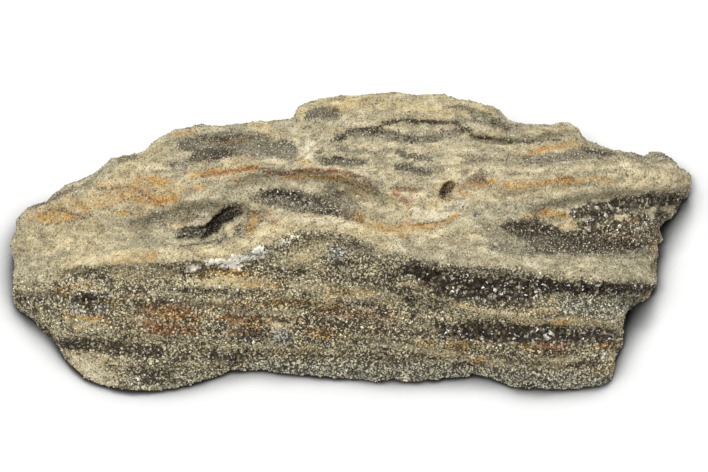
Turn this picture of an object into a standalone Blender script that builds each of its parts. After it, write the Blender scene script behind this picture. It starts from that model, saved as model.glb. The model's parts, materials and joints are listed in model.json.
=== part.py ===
"""Petrified wood: one split piece of a silicified log, crusted with small quartz points.

The stone lies on its flat underside. X runs along the grain, -Y is the broken front face and +Z is up.
Its main lines are given as they lie in the leaning plane that faces a viewer who looks down on the stone
from the front: "seen" is the distance up that plane from the foot of the front lobes, and "height" is the
distance above the ground. A line's depth in Y follows from the two.
"""

import math
import random

import bmesh
import bpy
import numpy as np
from mathutils import Matrix, Vector, noise
from mathutils.bvhtree import BVHTree

MM = 0.001

# Driving dimensions, in millimetres unless the name says otherwise
HALF_LENGTH = 125.0
LEAN_DEG = 62.0
FRONT_Y = -50.0
BULGE_HEIGHT = 5.0
FACE_SWELL = 3.0
VALLEY_BEHIND_RIDGE = 5.5
VALLEY_DROP = 1.0
CREST_BEFORE_BROW = 9.0
CREST_ABOVE_BROW = 5.0
BACK_SWELL = 4.0
UNDERCUT = 5.0
CAP_LENGTH = 2.0
CAP_DRAWN_IN = 0.35

# How finely the stone is worked
STATIONS = 110
RING_POINTS = 64
VOXEL = 1.5
BODY_TRIANGLES = 5950
SEEN_SIDE_FINER = 2.0

# Splinters along the grain, lumps and grit, as (length along the grain, size across it) or a size
SPLINTER_SIZE = (60.0, 9.0)
SPLINTER_RISE_SEEN = 0.8
SPLINTER_RISE_BACK = 3.4
SPLINTER_STEPS = 4
LUMP_SIZE = (11.0, 6.0)
LUMP_RISE = 0.85
GRIT_SIZE = 2.6
GRIT_RISE = 0.35
BRINK_WANDER = 0.8

# Lines along the grain, as (distance along X, seen)
FOOT_SEEN = (
    (-125, 31), (-118, 26.5), (-113, 23), (-109, 16.5), (-105, 11.5), (-100, 6.5), (-95, 4), (-88, 2.4),
    (-75, 1.7), (-62, 2.8), (-53, 5.8), (-44, 8.8), (-35, 8.8), (-20, 7.4), (0, 6.6), (17, 5.4), (28, 6.2),
    (45, 6.8), (55, 5.8), (58, 3.3), (63, 2.1), (75, 2.8), (91, 3), (94, 5), (96, 10.5), (98.2, 16),
    (98.8, 26), (100.5, 29), (104.5, 32.4), (110, 35), (111.8, 38), (112.1, 43), (112.4, 58), (115, 62.5),
    (118.5, 66.5), (122, 70), (125, 73.5),
)
RIDGE_SEEN = (
    (-125, 42), (-118, 43), (-105, 47), (-90, 49), (-75, 50), (-60, 51.5), (-50, 53), (-40, 56),
    (-29, 60.5), (-20, 63), (-12, 63.5), (0, 60), (10, 56), (20, 53), (40, 50.5), (60, 47.5), (80, 45.2),
    (95, 44), (105, 43), (111.8, 43.5), (112.4, 61), (118.5, 68.5), (125, 75),
)
TERRACE_SEEN = (
    (-125, 54), (-118, 58), (-105, 62), (-90, 65), (-75, 67.5), (-60, 71), (-40, 75.5), (-29, 78.5),
    (-20, 80), (-12, 80), (-3, 78.5), (6, 75.5), (13, 72.5), (25, 71), (40, 69), (50, 69),
    (60, 70), (80, 72.5), (95, 74), (105, 75), (115, 75.5), (125, 75),
)
BROW_SEEN = (
    (-125, 60), (-122, 66), (-118, 69.5), (-105, 75), (-98, 78), (-94, 82.5), (-90, 85), (-80, 87),
    (-75, 90), (-68, 95), (-60, 97.3), (-40, 99.5), (-24, 101), (-19, 104.5), (-14, 107), (0, 109),
    (20, 110.2), (40, 107.8), (51, 105.3), (56, 101), (65, 98), (80, 98.5), (83, 96.5), (87, 91),
    (92, 89.5), (102, 88), (114, 87.2), (118, 86), (121, 83), (123.5, 80), (125, 77),
)

# The same lines, as (distance along X, height)
RIDGE_HEIGHT = (
    (-125, 13), (-118, 18), (-105, 25), (-90, 30), (-75, 34), (-60, 38), (-40, 43), (-20, 46.5),
    (0, 46), (20, 44.5), (40, 43), (60, 41), (80, 37.5), (95, 32), (105, 26), (112, 17), (118, 12),
    (125, 9),
)
TERRACE_HEIGHT = (
    (-125, 17), (-118, 22), (-105, 28), (-90, 34), (-75, 38), (-60, 42.5), (-40, 47.5), (-20, 50.5),
    (0, 50), (20, 48.5), (40, 47.5), (60, 46.5), (80, 43), (95, 38.5), (105, 33), (115, 26), (125, 17),
)
BROW_HEIGHT = (
    (-125, 14), (-118, 19), (-105, 26), (-90, 33), (-75, 38), (-60, 42), (-40, 45), (-20, 48), (0, 51),
    (20, 53), (40, 52), (60, 47), (80, 43), (95, 37), (105, 31), (115, 24), (125, 14),
)

# Ledges that follow the grain on the seen side, as (rise, reach below, brink as (along X, seen))
LEDGES = (
    (1.2, 2.2, ((7, 97.7), (11, 99.5), (31, 99.4), (38, 99.5), (41, 96.6), (45, 94), (61, 93.3))),
    (1.5, 2.8, ((-9, 92.2), (-2, 97), (7, 97.3), (14, 95.9), (22, 94), (28, 94.4), (35, 97.3), (40, 97.3))),
    (0.9, 1.8, ((-15, 90), (-11, 90.7), (1, 90), (10, 89.2))),
    (1.0, 2.0, ((13, 90), (20, 88.5), (24, 87.8), (30, 87))),
    (1.1, 2.4, ((-14, 85.2), (-7, 86.6), (-1, 86.6), (4, 85.9))),
    (1.2, 2.6, ((15, 85.2), (21, 83.3), (26, 82.6), (31, 82.2))),
    (1.3, 4.0, ((-21, 102.9), (-15, 105.1), (-9, 105.1), (-3, 103.2))),
    (1.6, 4.2, ((32, 105.1), (40, 105.4), (46, 104), (53, 100.3), (58, 97.7))),
    (1.9, 3.0, ((43, 95.5), (55, 93.8), (65, 94), (74, 95.9), (83, 95.9), (87, 92.5))),
    (1.3, 2.6, ((61, 86.6), (70, 86.3), (81, 88.1), (91, 88.1), (99, 86.6))),
    (1.0, 2.2, ((56, 80.7), (65, 80), (74, 80.4), (88, 82.6), (102, 84.4), (124, 84.1))),
    (1.0, 2.4, ((54, 74.1), (65, 74.8), (76, 76), (91, 77.4), (105, 79.3))),
    (3.4, 8.5, ((66, 68.5), (76, 71.5), (93, 73.7), (112, 74.8), (125, 74.1))),
    (2.3, 9.0, ((-67, 94.4), (-60, 95.9), (-51, 94.8), (-40, 96.2), (-29, 97.3), (-18, 95.9))),
    (3.2, 9.0, ((-45, 77.1), (-38, 80), (-29, 81.5), (-20, 81.5), (-5, 79.6), (8, 75.2), (15, 71.9))),
    (2.6, 7.5, ((-80, 64.5), (-73, 66.7), (-64, 69.3), (-51, 70.8), (-42, 70.4), (-37, 68.6))),
    (3.4, 7.5, ((13, 47.6), (22, 47.6), (37, 46.1), (55, 44.2), (74, 41.7), (93, 40.6), (111, 39.8))),
    (2.2, 4.5, ((-110, 44.6), (-88, 46.8), (-59, 47.6), (-48, 48.3), (-34, 52), (-24, 55.7), (-13, 57.9),
                (-1, 56.4), (13, 49))),
    (3.0, 5.5, ((19, 37.2), (28, 35.8), (37, 32.8), (46, 30.2), (60, 28), (74, 26.2), (99, 26))),
    (1.8, 4.0, ((24, 14.4), (37, 12.9), (51, 12.5), (65, 13.6), (83, 13.6), (95, 15.1))),
    (2.0, 4.5, ((-127, 37.2), (-110, 38), (-103, 37.2), (-94, 34.7))),
    (1.8, 5.0, ((-108, 21.4), (-99, 21), (-88, 22.5), (-72, 21.4), (-57, 19.9), (-44, 16.6), (-38, 14.4))),
    (1.4, 3.5, ((-86, 32.8), (-57, 33.6), (-38, 32.8), (-20, 33.6), (-1, 32.1))),
    (1.2, 3.0, ((-68, 38.7), (-42, 38), (-24, 36.9), (-9, 38.7))),
    (1.4, 3.5, ((-86, 10), (-75, 10.7), (-62, 11.4), (-51, 12.2))),
    (1.4, 4.0, ((-48, 15.1), (-35, 17), (-20, 16.6), (-3, 15.1), (17, 14.4))),
)

# Rounded knobs on the seen side, as (along X, seen, radius, rise)
KNOBS = (
    (-98.0, 34.7, 6.5, 2.2), (-6.3, 51.2, 4.5, 2.0), (-26.6, 20.6, 4.5, 1.8), (-17.0, 61.0, 7.0, 1.2),
    (64.0, 49.5, 9.0, 0.9), (-64.0, 14.0, 7.0, 1.0), (40.0, 20.0, 7.0, 0.9),
)

# Hollows: name, (along X, seen, height), (radii along, in and across), turn in the seen plane, dip, roughness
HOLLOWS = (
    ("slot_cutter", (-50.0, 61.3, 38.0), (11.6, 12.0, 2.7), 31.0, 24.0, 0.22),
    ("slot_toe_cutter", (-57.2, 57.5, 37.0), (8.6, 9.0, 1.9), 9.0, 24.0, 0.26),
    ("pit_cutter", (34.2, 74.6, 47.5), (3.9, 4.0, 2.4), 42.0, 62.0, 0.24),
    ("notch_cutter", (112.5, 48.4, 14.0), (5.2, 14.0, 2.9), -8.0, 24.0, 0.16),
)

# The pale lump that has grown in the mouth of the slot, as (along X, seen), radii and how far it is sunk
GROWN_LUMP_PLACE = (-45.6, 59.4)
GROWN_LUMP_RADII = (2.6, 2.6, 2.9)
GROWN_LUMP_SUNK = 0.5

# Beds of larger quartz points: (how many, half width, path as (along X, seen))
POINT_BEDS = (
    (40, 4.6, ((20, 43), (40, 39), (60, 36.5), (84, 37))),
    (7, 2.0, ((84, 38), (110, 38))),
    (28, 3.6, ((30, 25), (52, 21.5), (70, 19.5), (92, 20))),
    (26, 6.5, ((60, 62), (80, 61), (98, 62), (112, 68))),
    (11, 5.0, ((-38, 70), (-22, 72), (-8, 71), (4, 66))),
    (5, 3.5, ((-98, 36), (-90, 36))),
    (6, 4.0, ((-80, 6), (-68, 6.5))),
)
POINT_LENGTH = 2.0
POINT_SUNK = 1.0
POINT_STEEPNESS = 1.35
POINT_LEAN_DEG = 32.0
POINT_SIZES = (0.75, 1.4)
POINT_GAP = 2.9
POINT_TRIES = 40

# The underside is cut flat this far above its lowest point
SEAT_HEIGHT = 1.2
SEAT_BLOCK = (500.0, 500.0, 100.0)

# From how far off the stone is looked at
FAR_OFF = 300.0

SIN_LEAN = math.sin(math.radians(LEAN_DEG))
COS_LEAN = math.cos(math.radians(LEAN_DEG))
TOWARDS_VIEWER = Vector((0.0, -COS_LEAN, SIN_LEAN))


def clear_scene():
    """Removes the startup objects."""
    for old in list(bpy.data.objects):
        bpy.data.objects.remove(old, do_unlink=True)


def along(line, x):
    """The value of a line at x: a smooth curve through its points that never overshoots them."""
    px, py = np.array(line, float).T
    step = np.diff(px)
    slope = np.diff(py) / step
    tangent = np.zeros(len(px))
    same_way = slope[:-1] * slope[1:] > 0
    harmonic = 2 * slope[:-1] * slope[1:] / np.where(same_way, slope[:-1] + slope[1:], 1.0)
    tangent[1:-1] = np.where(same_way, harmonic, 0.0)
    tangent[0], tangent[-1] = slope[0], slope[-1]
    x = np.clip(x, px[0], px[-1])
    i = np.clip(np.searchsorted(px, x, side="right") - 1, 0, len(step) - 1)
    t = (x - px[i]) / step[i]
    return (
        py[i] * (1 + 2 * t) * (1 - t) ** 2
        + py[i + 1] * t * t * (3 - 2 * t)
        + step[i] * (tangent[i] * t * (1 - t) ** 2 - tangent[i + 1] * t * t * (1 - t))
    )


def depth(seen, height):
    """The Y of a point that lies this far up the seen plane at this height."""
    return FRONT_Y + (seen - height * COS_LEAN) / SIN_LEAN


def section(x):
    """The corner points (y, z) of the stone's cross-section at x, from the underside round the front."""
    foot_y = depth(along(FOOT_SEEN, x), BULGE_HEIGHT)
    ridge_seen, ridge_z = along(RIDGE_SEEN, x), along(RIDGE_HEIGHT, x)
    ridge_y = depth(ridge_seen, ridge_z)
    valley_z = ridge_z - VALLEY_DROP
    terrace_z = along(TERRACE_HEIGHT, x)
    terrace_y = depth(along(TERRACE_SEEN, x), terrace_z)
    valley_y = min(depth(ridge_seen + VALLEY_BEHIND_RIDGE, valley_z), 0.5 * (ridge_y + terrace_y) + 2)
    brow_z = along(BROW_HEIGHT, x)
    brow_y = depth(along(BROW_SEEN, x), brow_z)
    crest_y = max(brow_y - CREST_BEFORE_BROW, 0.5 * (terrace_y + brow_y))
    crest_z = brow_z + CREST_ABOVE_BROW
    bulge_z = min(BULGE_HEIGHT, 0.4 * ridge_z)
    return (
        (0.5 * (foot_y + brow_y), 0.0),
        (foot_y + 0.12 * (brow_y - foot_y), 0.0),
        (foot_y + 0.25 * UNDERCUT, 1.0),
        (foot_y, bulge_z),
        (0.5 * (foot_y + ridge_y) - FACE_SWELL, 0.5 * (bulge_z + ridge_z) + FACE_SWELL),
        (ridge_y, ridge_z),
        (valley_y, valley_z),
        (terrace_y, terrace_z),
        (crest_y, crest_z),
        (brow_y, brow_z),
        (brow_y + BACK_SWELL, 0.55 * brow_z),
        (brow_y + 0.5 * BACK_SWELL, 0.2 * brow_z),
        (brow_y - UNDERCUT, 0.5),
    )


def ring(x):
    """A closed smooth ring of points round the stone at x, in metres."""
    corners = np.array(section(x), float)
    count = len(corners)
    samples = np.arange(RING_POINTS) * count / RING_POINTS
    i = samples.astype(int)
    t = (samples - i)[:, None]
    before, start, end, after = (corners[(i + k) % count] for k in (-1, 0, 1, 2))
    curve = 0.5 * (
        2 * start
        + (end - before) * t
        + (2 * before - 5 * start + 4 * end - after) * t**2
        + (3 * start - before - 3 * end + after) * t**3
    )
    return np.column_stack([np.full(len(curve), x), curve]) * MM


def shrunk(points, x, share):
    """A ring moved to x and drawn in towards its middle, which rounds an end of the stone."""
    moved = points.mean(0) + share * (points - points.mean(0))
    moved[:, 0] = x * MM
    return moved


def object_of(made, name):
    """Turns a bmesh into an object of the scene."""
    mesh = bpy.data.meshes.new(name)
    made.to_mesh(mesh)
    made.free()
    obj = bpy.data.objects.new(name, mesh)
    bpy.context.scene.collection.objects.link(obj)
    return obj


def stone_body():
    """The plain form of the stone: rings across the grain, joined and closed at both ends."""
    rings = [ring(x) for x in np.linspace(-HALF_LENGTH, HALF_LENGTH, STATIONS)]
    left = [shrunk(rings[0], -HALF_LENGTH - CAP_LENGTH * k, 1 - CAP_DRAWN_IN * k) for k in (1.0, 0.5)]
    right = [shrunk(rings[-1], HALF_LENGTH + CAP_LENGTH * k, 1 - CAP_DRAWN_IN * k) for k in (0.5, 1.0)]
    rings = left + rings + right
    made = bmesh.new()
    loops = [[made.verts.new(p) for p in points] for points in rings]
    for one, other in zip(loops, loops[1:]):
        for k in range(RING_POINTS):
            after = (k + 1) % RING_POINTS
            made.faces.new((one[k], one[after], other[after], other[k]))
    made.faces.new(loops[0][::-1])
    made.faces.new(loops[-1])
    bmesh.ops.recalc_face_normals(made, faces=made.faces)
    return object_of(made, "petrified_wood")


def apply_modifier(obj, kind, **settings):
    """Adds a modifier with these settings, makes its result the object's mesh and removes it."""
    modifier = obj.modifiers.new(kind.title(), kind)
    for name, value in settings.items():
        setattr(modifier, name, value)
    graph = bpy.context.evaluated_depsgraph_get()
    made = bpy.data.meshes.new_from_object(obj.evaluated_get(graph))
    obj.modifiers.clear()
    obj.data = made


def places_and_normals(obj):
    """The object's vertex places and normals as two arrays, in millimetres and as unit vectors."""
    count = len(obj.data.vertices)
    places, normals = np.empty(3 * count), np.empty(3 * count)
    obj.data.vertices.foreach_get("co", places)
    obj.data.vertices.foreach_get("normal", normals)
    return places.reshape(-1, 3) / MM, normals.reshape(-1, 3)


def seen_of(places):
    """How far up the seen plane each place lies."""
    return (places[:, 1] - FRONT_Y) * SIN_LEAN + places[:, 2] * COS_LEAN


def smooth_step(low, high, value):
    """0 below low, 1 above high, and a soft change between."""
    t = np.clip((value - low) / (high - low), 0, 1)
    return t * t * (3 - 2 * t)


def grain_noise(places, length, across, octaves, offset):
    """Fractal noise drawn out along the grain, one value for each place."""
    scaled = places / np.array((length, across, across)) + offset
    return np.array([noise.fractal(Vector(p), 1.0, 2.0, octaves) for p in scaled])


def noise_at(places, size, offset):
    """Plain noise with lumps of this size, one value for each place."""
    return np.array([noise.noise(Vector(p)) for p in places / size + offset])


def terraced(value, levels):
    """Noise turned into steps with steep risers, like wood that splits along its rings."""
    steps = value * levels
    floor = np.floor(steps)
    return (floor + smooth_step(0.62, 0.98, steps - floor)) / levels


def ledge_relief(places):
    """How far the ledges bring each place towards the viewer: out above a brink, and in below it."""
    seen = seen_of(places)
    total = np.zeros(len(places))
    wander = BRINK_WANDER * grain_noise(places, 12.0, 12.0, 2, 3.1)
    for rise, reach, brink in LEDGES:
        first, last = brink[0][0], brink[-1][0]
        above = seen + wander - along(brink, places[:, 0])
        fade = smooth_step(first - 7, first + 4, places[:, 0]) * (
            1 - smooth_step(last - 4, last + 7, places[:, 0])
        )
        lip = np.exp(-((np.maximum(above, 0) / (1.5 * reach)) ** 2))
        drop = smooth_step(-0.4 * reach, 0, above)
        back = smooth_step(-1.9 * reach, -0.45 * reach, above)
        total += fade * rise * (0.45 * lip * drop - (1 - drop) * back)
    return total


def knob_relief(places):
    """How far the rounded knobs bring each place towards the viewer."""
    seen = seen_of(places)
    total = np.zeros(len(places))
    for x, up, radius, rise in KNOBS:
        away = ((places[:, 0] - x) ** 2 + (seen - up) ** 2) / radius**2
        total += rise * np.maximum(1 - away, 0) ** 0.7
    return total


def carve_relief(stone):
    """Gives the plain form its ledges, its knobs, its splintered grain and its lumps."""
    places, normals = places_and_normals(stone)
    viewer = np.array(TOWARDS_VIEWER)
    facing = smooth_step(0.02, 0.35, normals @ viewer)
    splinter_rise = SPLINTER_RISE_BACK + (SPLINTER_RISE_SEEN - SPLINTER_RISE_BACK) * facing
    off_ground = 0.35 + 0.65 * smooth_step(1.0, 6.0, places[:, 2])
    out = splinter_rise * off_ground * terraced(grain_noise(places, *SPLINTER_SIZE, 3, 7.7), SPLINTER_STEPS)
    out += LUMP_RISE * grain_noise(places, *LUMP_SIZE, 3, 1.9)
    out += GRIT_RISE * noise_at(places, GRIT_SIZE, 5.3)
    towards = facing * (ledge_relief(places) + knob_relief(places))
    moved = places + normals * out[:, None] + viewer * towards[:, None]
    stone.data.vertices.foreach_set("co", (moved * MM).ravel())
    stone.data.update()


def in_stone(seen_place):
    """The point (x, y, z), in metres, of a place given as (along X, seen, height)."""
    x, seen, height = seen_place
    return Vector((x, depth(seen, height), height)) * MM


def combine(stone, made, name, operation):
    """Joins the shape held in this bmesh to the stone, or cuts it away. Shapes to join may overlap."""
    other = object_of(made, name)
    overlap = operation == "UNION"
    apply_modifier(stone, "BOOLEAN", operation=operation, solver="EXACT", object=other, use_self=overlap)
    bpy.data.objects.remove(other)


def cut_hollow(stone, name, middle, radii, turn_deg, dip_deg, roughness):
    """Cuts a flattened rough ellipsoid out of the stone. It leads in and down at dip_deg from the level."""
    made = bmesh.new()
    bmesh.ops.create_icosphere(made, subdivisions=3, radius=1.0)
    for v in made.verts:
        v.co *= 1 + roughness * noise.noise(v.co * 2.3)
    size = Matrix.Diagonal((*(r * MM for r in radii), 1.0))
    turn = Matrix.Rotation(math.radians(-turn_deg), 4, "Y")
    dip = Matrix.Rotation(math.radians(-dip_deg), 4, "X")
    made.transform(Matrix.Translation(in_stone(middle)) @ dip @ turn @ size)
    combine(stone, made, name, "DIFFERENCE")


def surface_of(stone):
    """The stone's surface, ready to be looked at."""
    return BVHTree.FromObject(stone, bpy.context.evaluated_depsgraph_get())


def looked_at(surface, x, seen):
    """Where the line of sight through (along X, seen) meets the surface, and the normal there."""
    start = in_stone((x, seen, 0.0)) + TOWARDS_VIEWER * FAR_OFF * MM
    foot, normal, _, _ = surface.ray_cast(start, -TOWARDS_VIEWER)
    return foot, normal


def add_lump(stone, surface_place):
    """Fuses the pale rounded lump to the stone in the mouth of the slot."""
    made = bmesh.new()
    bmesh.ops.create_icosphere(made, subdivisions=2, radius=1.0)
    for v in made.verts:
        v.co *= 1 + 0.14 * noise.noise(v.co * 1.7)
    made.transform(Matrix.Diagonal((*(r * MM for r in GROWN_LUMP_RADII), 1.0)))
    made.transform(Matrix.Translation(surface_place - TOWARDS_VIEWER * GROWN_LUMP_SUNK * MM))
    combine(stone, made, "lump", "UNION")


def quartz_point(made, foot, way, turn, size):
    """Adds the six-sided pointed end of one quartz crystal to the bmesh, sunk into the stone at foot."""
    length, sunk = POINT_LENGTH * size * MM, POINT_SUNK * size * MM
    radius = (length + sunk) / POINT_STEEPNESS
    side = way.orthogonal().normalized()
    other = way.cross(side)
    turns = [turn + k * math.tau / 6 for k in range(6)]
    base = [
        made.verts.new(foot - way * sunk + radius * (math.cos(a) * side + math.sin(a) * other)) for a in turns
    ]
    tip = made.verts.new(foot + way * length)
    made.faces.new(base[::-1])
    for k in range(6):
        made.faces.new((base[k], base[(k + 1) % 6], tip))


def grow_points(stone):
    """Fuses the beds of larger quartz points to the stone, no two of them touching."""
    chance = random.Random(11)
    lean = math.radians(POINT_LEAN_DEG)
    surface = surface_of(stone)
    made = bmesh.new()
    taken = []
    for count, half_width, path in POINT_BEDS:
        grown = 0
        for _ in range(count * POINT_TRIES):
            if grown == count:
                break
            x = chance.uniform(path[0][0], path[-1][0])
            seen = float(along(path, x)) + chance.uniform(-half_width, half_width)
            foot, normal = looked_at(surface, x, seen)
            tilt = Vector(chance.uniform(-lean, lean) for _ in range(3))
            turn, size = chance.uniform(0, math.tau), chance.uniform(*POINT_SIZES)
            if foot is None or any((foot - t).length < POINT_GAP * MM for t in taken):
                continue
            quartz_point(made, foot, (normal + tilt).normalized(), turn, size)
            taken.append(foot)
            grown += 1
    combine(stone, made, "quartz_points", "UNION")


def thin_out(stone, triangles):
    """Merges the faces that matter least until about this many triangles are left, and mends the gaps.

    The side that is looked at keeps its faces longest."""
    apply_modifier(stone, "TRIANGULATE")
    _, normals = places_and_normals(stone)
    seen_side = stone.vertex_groups.new(name="seen_side")
    for number, facing in enumerate(normals @ np.array(TOWARDS_VIEWER)):
        seen_side.add([number], float(np.clip(0.5 - facing, 0.2, 1.0)), "REPLACE")
    apply_modifier(
        stone, "DECIMATE", decimate_type="COLLAPSE", ratio=triangles / len(stone.data.polygons),
        use_collapse_triangulate=True, vertex_group="seen_side", vertex_group_factor=SEEN_SIDE_FINER,
    )
    stone.vertex_groups.clear()
    made = bmesh.new()
    made.from_mesh(stone.data)
    for _ in range(3):
        bad = [e for e in made.edges if len(e.link_faces) != 2]
        if not bad:
            break
        faces = {f for e in bad for v in e.verts for f in v.link_faces}
        bmesh.ops.delete(made, geom=list(faces), context="FACES")
        bmesh.ops.delete(made, geom=[v for v in made.verts if not v.link_faces], context="VERTS")
        rim = [e for e in made.edges if len(e.link_faces) == 1]
        filled = bmesh.ops.holes_fill(made, edges=rim, sides=0)["faces"]
        bmesh.ops.triangulate(made, faces=filled)
    made.to_mesh(stone.data)
    made.free()


def cut_seat(stone):
    """Cuts the underside flat where the stone rests, and brings that flat down to the ground."""
    made = bmesh.new()
    bmesh.ops.create_cube(made, size=1.0)
    made.transform(Matrix.Diagonal((*(side * MM for side in SEAT_BLOCK), 1.0)))
    made.transform(Matrix.Translation((0.0, 0.0, (SEAT_HEIGHT - 0.5 * SEAT_BLOCK[2]) * MM)))
    combine(stone, made, "seat_cutter", "DIFFERENCE")
    stone.data.transform(Matrix.Translation((0.0, 0.0, -SEAT_HEIGHT * MM)))


def drop_slivers(stone):
    """Removes any sliver that the joining has left on or beside the one body of the stone."""
    made = bmesh.new()
    made.from_mesh(stone.data)
    left = set(made.faces)
    bodies = []
    while left:
        body, front = [], [left.pop()]
        while front:
            at = front.pop()
            body.append(at)
            near = {face for edge in at.edges if len(edge.link_faces) == 2 for face in edge.link_faces} & left
            left -= near
            front.extend(near)
        bodies.append(body)
    bodies.sort(key=len)
    bmesh.ops.delete(made, geom=[face for body in bodies[:-1] for face in body], context="FACES")
    made.to_mesh(stone.data)
    made.free()


def centre(stone):
    """Brings the middle of the stone's box over the origin."""
    places, _ = places_and_normals(stone)
    middle = 0.5 * (places.min(0) + places.max(0))
    stone.data.transform(Matrix.Translation((-middle[0] * MM, -middle[1] * MM, 0.0)))


def stone_material():
    """Weathered tan and grey stone, rough, with no metal in it."""
    material = bpy.data.materials.new("druzy_petrified_wood")
    material.use_nodes = True
    shader = material.node_tree.nodes["Principled BSDF"]
    shader.inputs["Base Color"].default_value = (0.33, 0.29, 0.21, 1.0)
    shader.inputs["Roughness"].default_value = 0.7
    shader.inputs["Metallic"].default_value = 0.0
    return material


def main():
    clear_scene()
    stone = stone_body()
    apply_modifier(stone, "REMESH", mode="VOXEL", voxel_size=VOXEL * MM)
    carve_relief(stone)
    lump_place, _ = looked_at(surface_of(stone), *GROWN_LUMP_PLACE)
    for hollow in HOLLOWS:
        cut_hollow(stone, *hollow)
    thin_out(stone, BODY_TRIANGLES)
    add_lump(stone, lump_place)
    cut_seat(stone)
    grow_points(stone)
    drop_slivers(stone)
    centre(stone)
    stone.data.materials.clear()
    stone.data.materials.append(stone_material())


main()
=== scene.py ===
"""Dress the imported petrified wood: a sandy skin, drusy quartz, rust seams, a white studio."""

import json
import logging
import math
from dataclasses import dataclass, field, replace
from enum import Enum

import bpy
import numpy as np
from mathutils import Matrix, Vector

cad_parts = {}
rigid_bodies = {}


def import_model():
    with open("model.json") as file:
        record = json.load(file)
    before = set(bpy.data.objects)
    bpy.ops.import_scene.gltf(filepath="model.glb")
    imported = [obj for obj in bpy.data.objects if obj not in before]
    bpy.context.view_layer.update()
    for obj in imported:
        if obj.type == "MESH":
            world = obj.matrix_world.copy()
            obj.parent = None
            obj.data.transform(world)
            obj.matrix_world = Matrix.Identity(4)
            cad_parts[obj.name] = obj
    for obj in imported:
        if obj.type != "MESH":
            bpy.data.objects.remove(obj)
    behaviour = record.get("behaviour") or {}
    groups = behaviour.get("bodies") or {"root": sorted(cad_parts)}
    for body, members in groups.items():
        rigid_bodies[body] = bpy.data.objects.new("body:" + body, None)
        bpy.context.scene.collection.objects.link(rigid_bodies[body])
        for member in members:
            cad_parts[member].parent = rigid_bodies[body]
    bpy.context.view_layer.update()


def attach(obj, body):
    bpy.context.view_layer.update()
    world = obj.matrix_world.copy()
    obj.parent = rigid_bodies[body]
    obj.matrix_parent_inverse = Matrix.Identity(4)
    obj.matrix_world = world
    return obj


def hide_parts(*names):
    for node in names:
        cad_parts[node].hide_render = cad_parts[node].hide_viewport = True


LOG = logging.getLogger("petrified_wood")
MM = 0.001
NODE = "petrified_wood"
BODY = "root"
BAKE_MAP = "OFBake"
PAINT = "paint"
ROUGH = "druse"
# Columns of a row of cover after its colour: what a deposit holds, then how iron-stained it is
DRUSE, DARK, SIZE, SPARKLE, IRON = range(3, 8)

# The view of the stone: its face leans back, and the eye looks down at it
VIEW_ELEVATION = math.radians(62.0)
PIXEL = 0.3687 * MM
FRAME_WIDTH = 708
# Where the marks' own zero lies in the frame
MIDDLE_X = 0.79
FOOT_Y = 51.26
SEAT_Z = 1.2
# Height of the long crest above the foot, as seen: sandy top above it, drusy face below
CREST_X = (-140.0, -110.0, -96.6, -79.6, -62.7, -50.1, -41.7, -33.2, -24.7, -7.7, 2.2, 8.5, 22.5,
           36.5, 48.0, 60.1, 74.1, 92.9, 111.7, 140.0)
CREST_SEEN = (46.0, 47.0, 49.4, 50.5, 51.2, 52.0, 54.6, 57.9, 62.3, 62.3, 59.7, 55.3, 52.0,
              51.2, 49.8, 48.7, 46.8, 45.0, 43.1, 41.5)
# Points nearer to each other, or to the sole, than this count as one
SMALLEST = 0.001 * MM

Array = np.ndarray
Triple = tuple[float, float, float]
Colour = Triple
Pair = tuple[float, float]
Path = tuple[Pair, ...]
Row = tuple[float, ...]


@dataclass(frozen=True)
class Deposit:
    """What covers the stone at a place.

    Args:
        shade: Colour as 8-bit red, green and blue.
        druse: How much of it is coarse crystal, from 0, sandy, to 1.
        dark: Share of smoky crystals and specks, from 0 to 1.
        size: Size of its crystals against the largest.
        sparkle: Share of crystal faces painted white as glints, a painted highlight, from 0 to 1; it also
            brings large points and pale crystals.
    """

    shade: Colour
    druse: float
    dark: float
    size: float = 0.6
    sparkle: float = 0.0

    def row(self) -> Array:
        """Return linear colour, druse, dark, size and sparkle as one row of seven numbers."""
        return np.array([*linear(self.shade), self.druse, self.dark, self.size, self.sparkle])


class Tone(Enum):
    """The deposits that lie on the stone, by name."""

    TAN = Deposit((200, 183, 136), 0.05, 0.08)
    SAND = Deposit((184, 175, 145), 0.12, 0.14)
    CREAM = Deposit((222, 207, 166), 0.0, 0.05)
    CHALK = Deposit((252, 249, 238), 0.0, 0.0)
    # Painted shade: near black laid in the slot, the pit and beside the lump, where only shade falls
    VOID = Deposit((26, 20, 16), 0.0, 1.6)
    OCHRE = Deposit((214, 164, 66), 0.1, 0.12)
    RUST = Deposit((168, 104, 40), 0.25, 0.3)
    RED = Deposit((138, 76, 38), 0.1, 0.2)
    BRICK = Deposit((134, 72, 38), 0.1, 0.2)
    UMBER = Deposit((134, 110, 66), 0.1, 0.2)
    BROWN = Deposit((90, 62, 40), 0.1, 0.3)
    ASH = Deposit((196, 194, 174), 0.9, 0.3, 0.66, 0.1)
    SLATE = Deposit((160, 154, 132), 0.8, 0.36, 0.52, 0.05)
    GLOOM = Deposit((124, 112, 90), 0.95, 0.52, 0.7, 0.2)
    BLACK = Deposit((88, 76, 62), 1.0, 0.92, 1.1, 1.0)
    STONE = Deposit((152, 146, 122), 0.3, 0.3)
    MILK = Deposit((240, 230, 202), 0.0, 0.03)
    CRACK = Deposit((96, 86, 68), 0.15, 0.5)
    # Painted highlight: pure white laid where single crystals glint
    GLINT = Deposit((254, 251, 242), 0.0, 0.0)
    FROST = Deposit((190, 192, 184), 0.95, 0.25, 0.7, 0.5)


# Plain ground of the sandy top and of the drusy face
TOP_GROUND = Deposit((190, 180, 148), 0.15, 0.14)
FACE_GROUND = Deposit((216, 203, 163), 0.88, 0.26, 0.62, 0.1)


@dataclass(frozen=True)
class Mark:
    """A stroke of one deposit along the grain.

    Args:
        tone: The deposit.
        reach: Half its width in millimetres.
        strength: How fully it covers, from 0 to 1.
        path: Points (along, up the seen face) in millimetres.
    """

    tone: Tone
    reach: float
    strength: float
    path: Path


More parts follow.
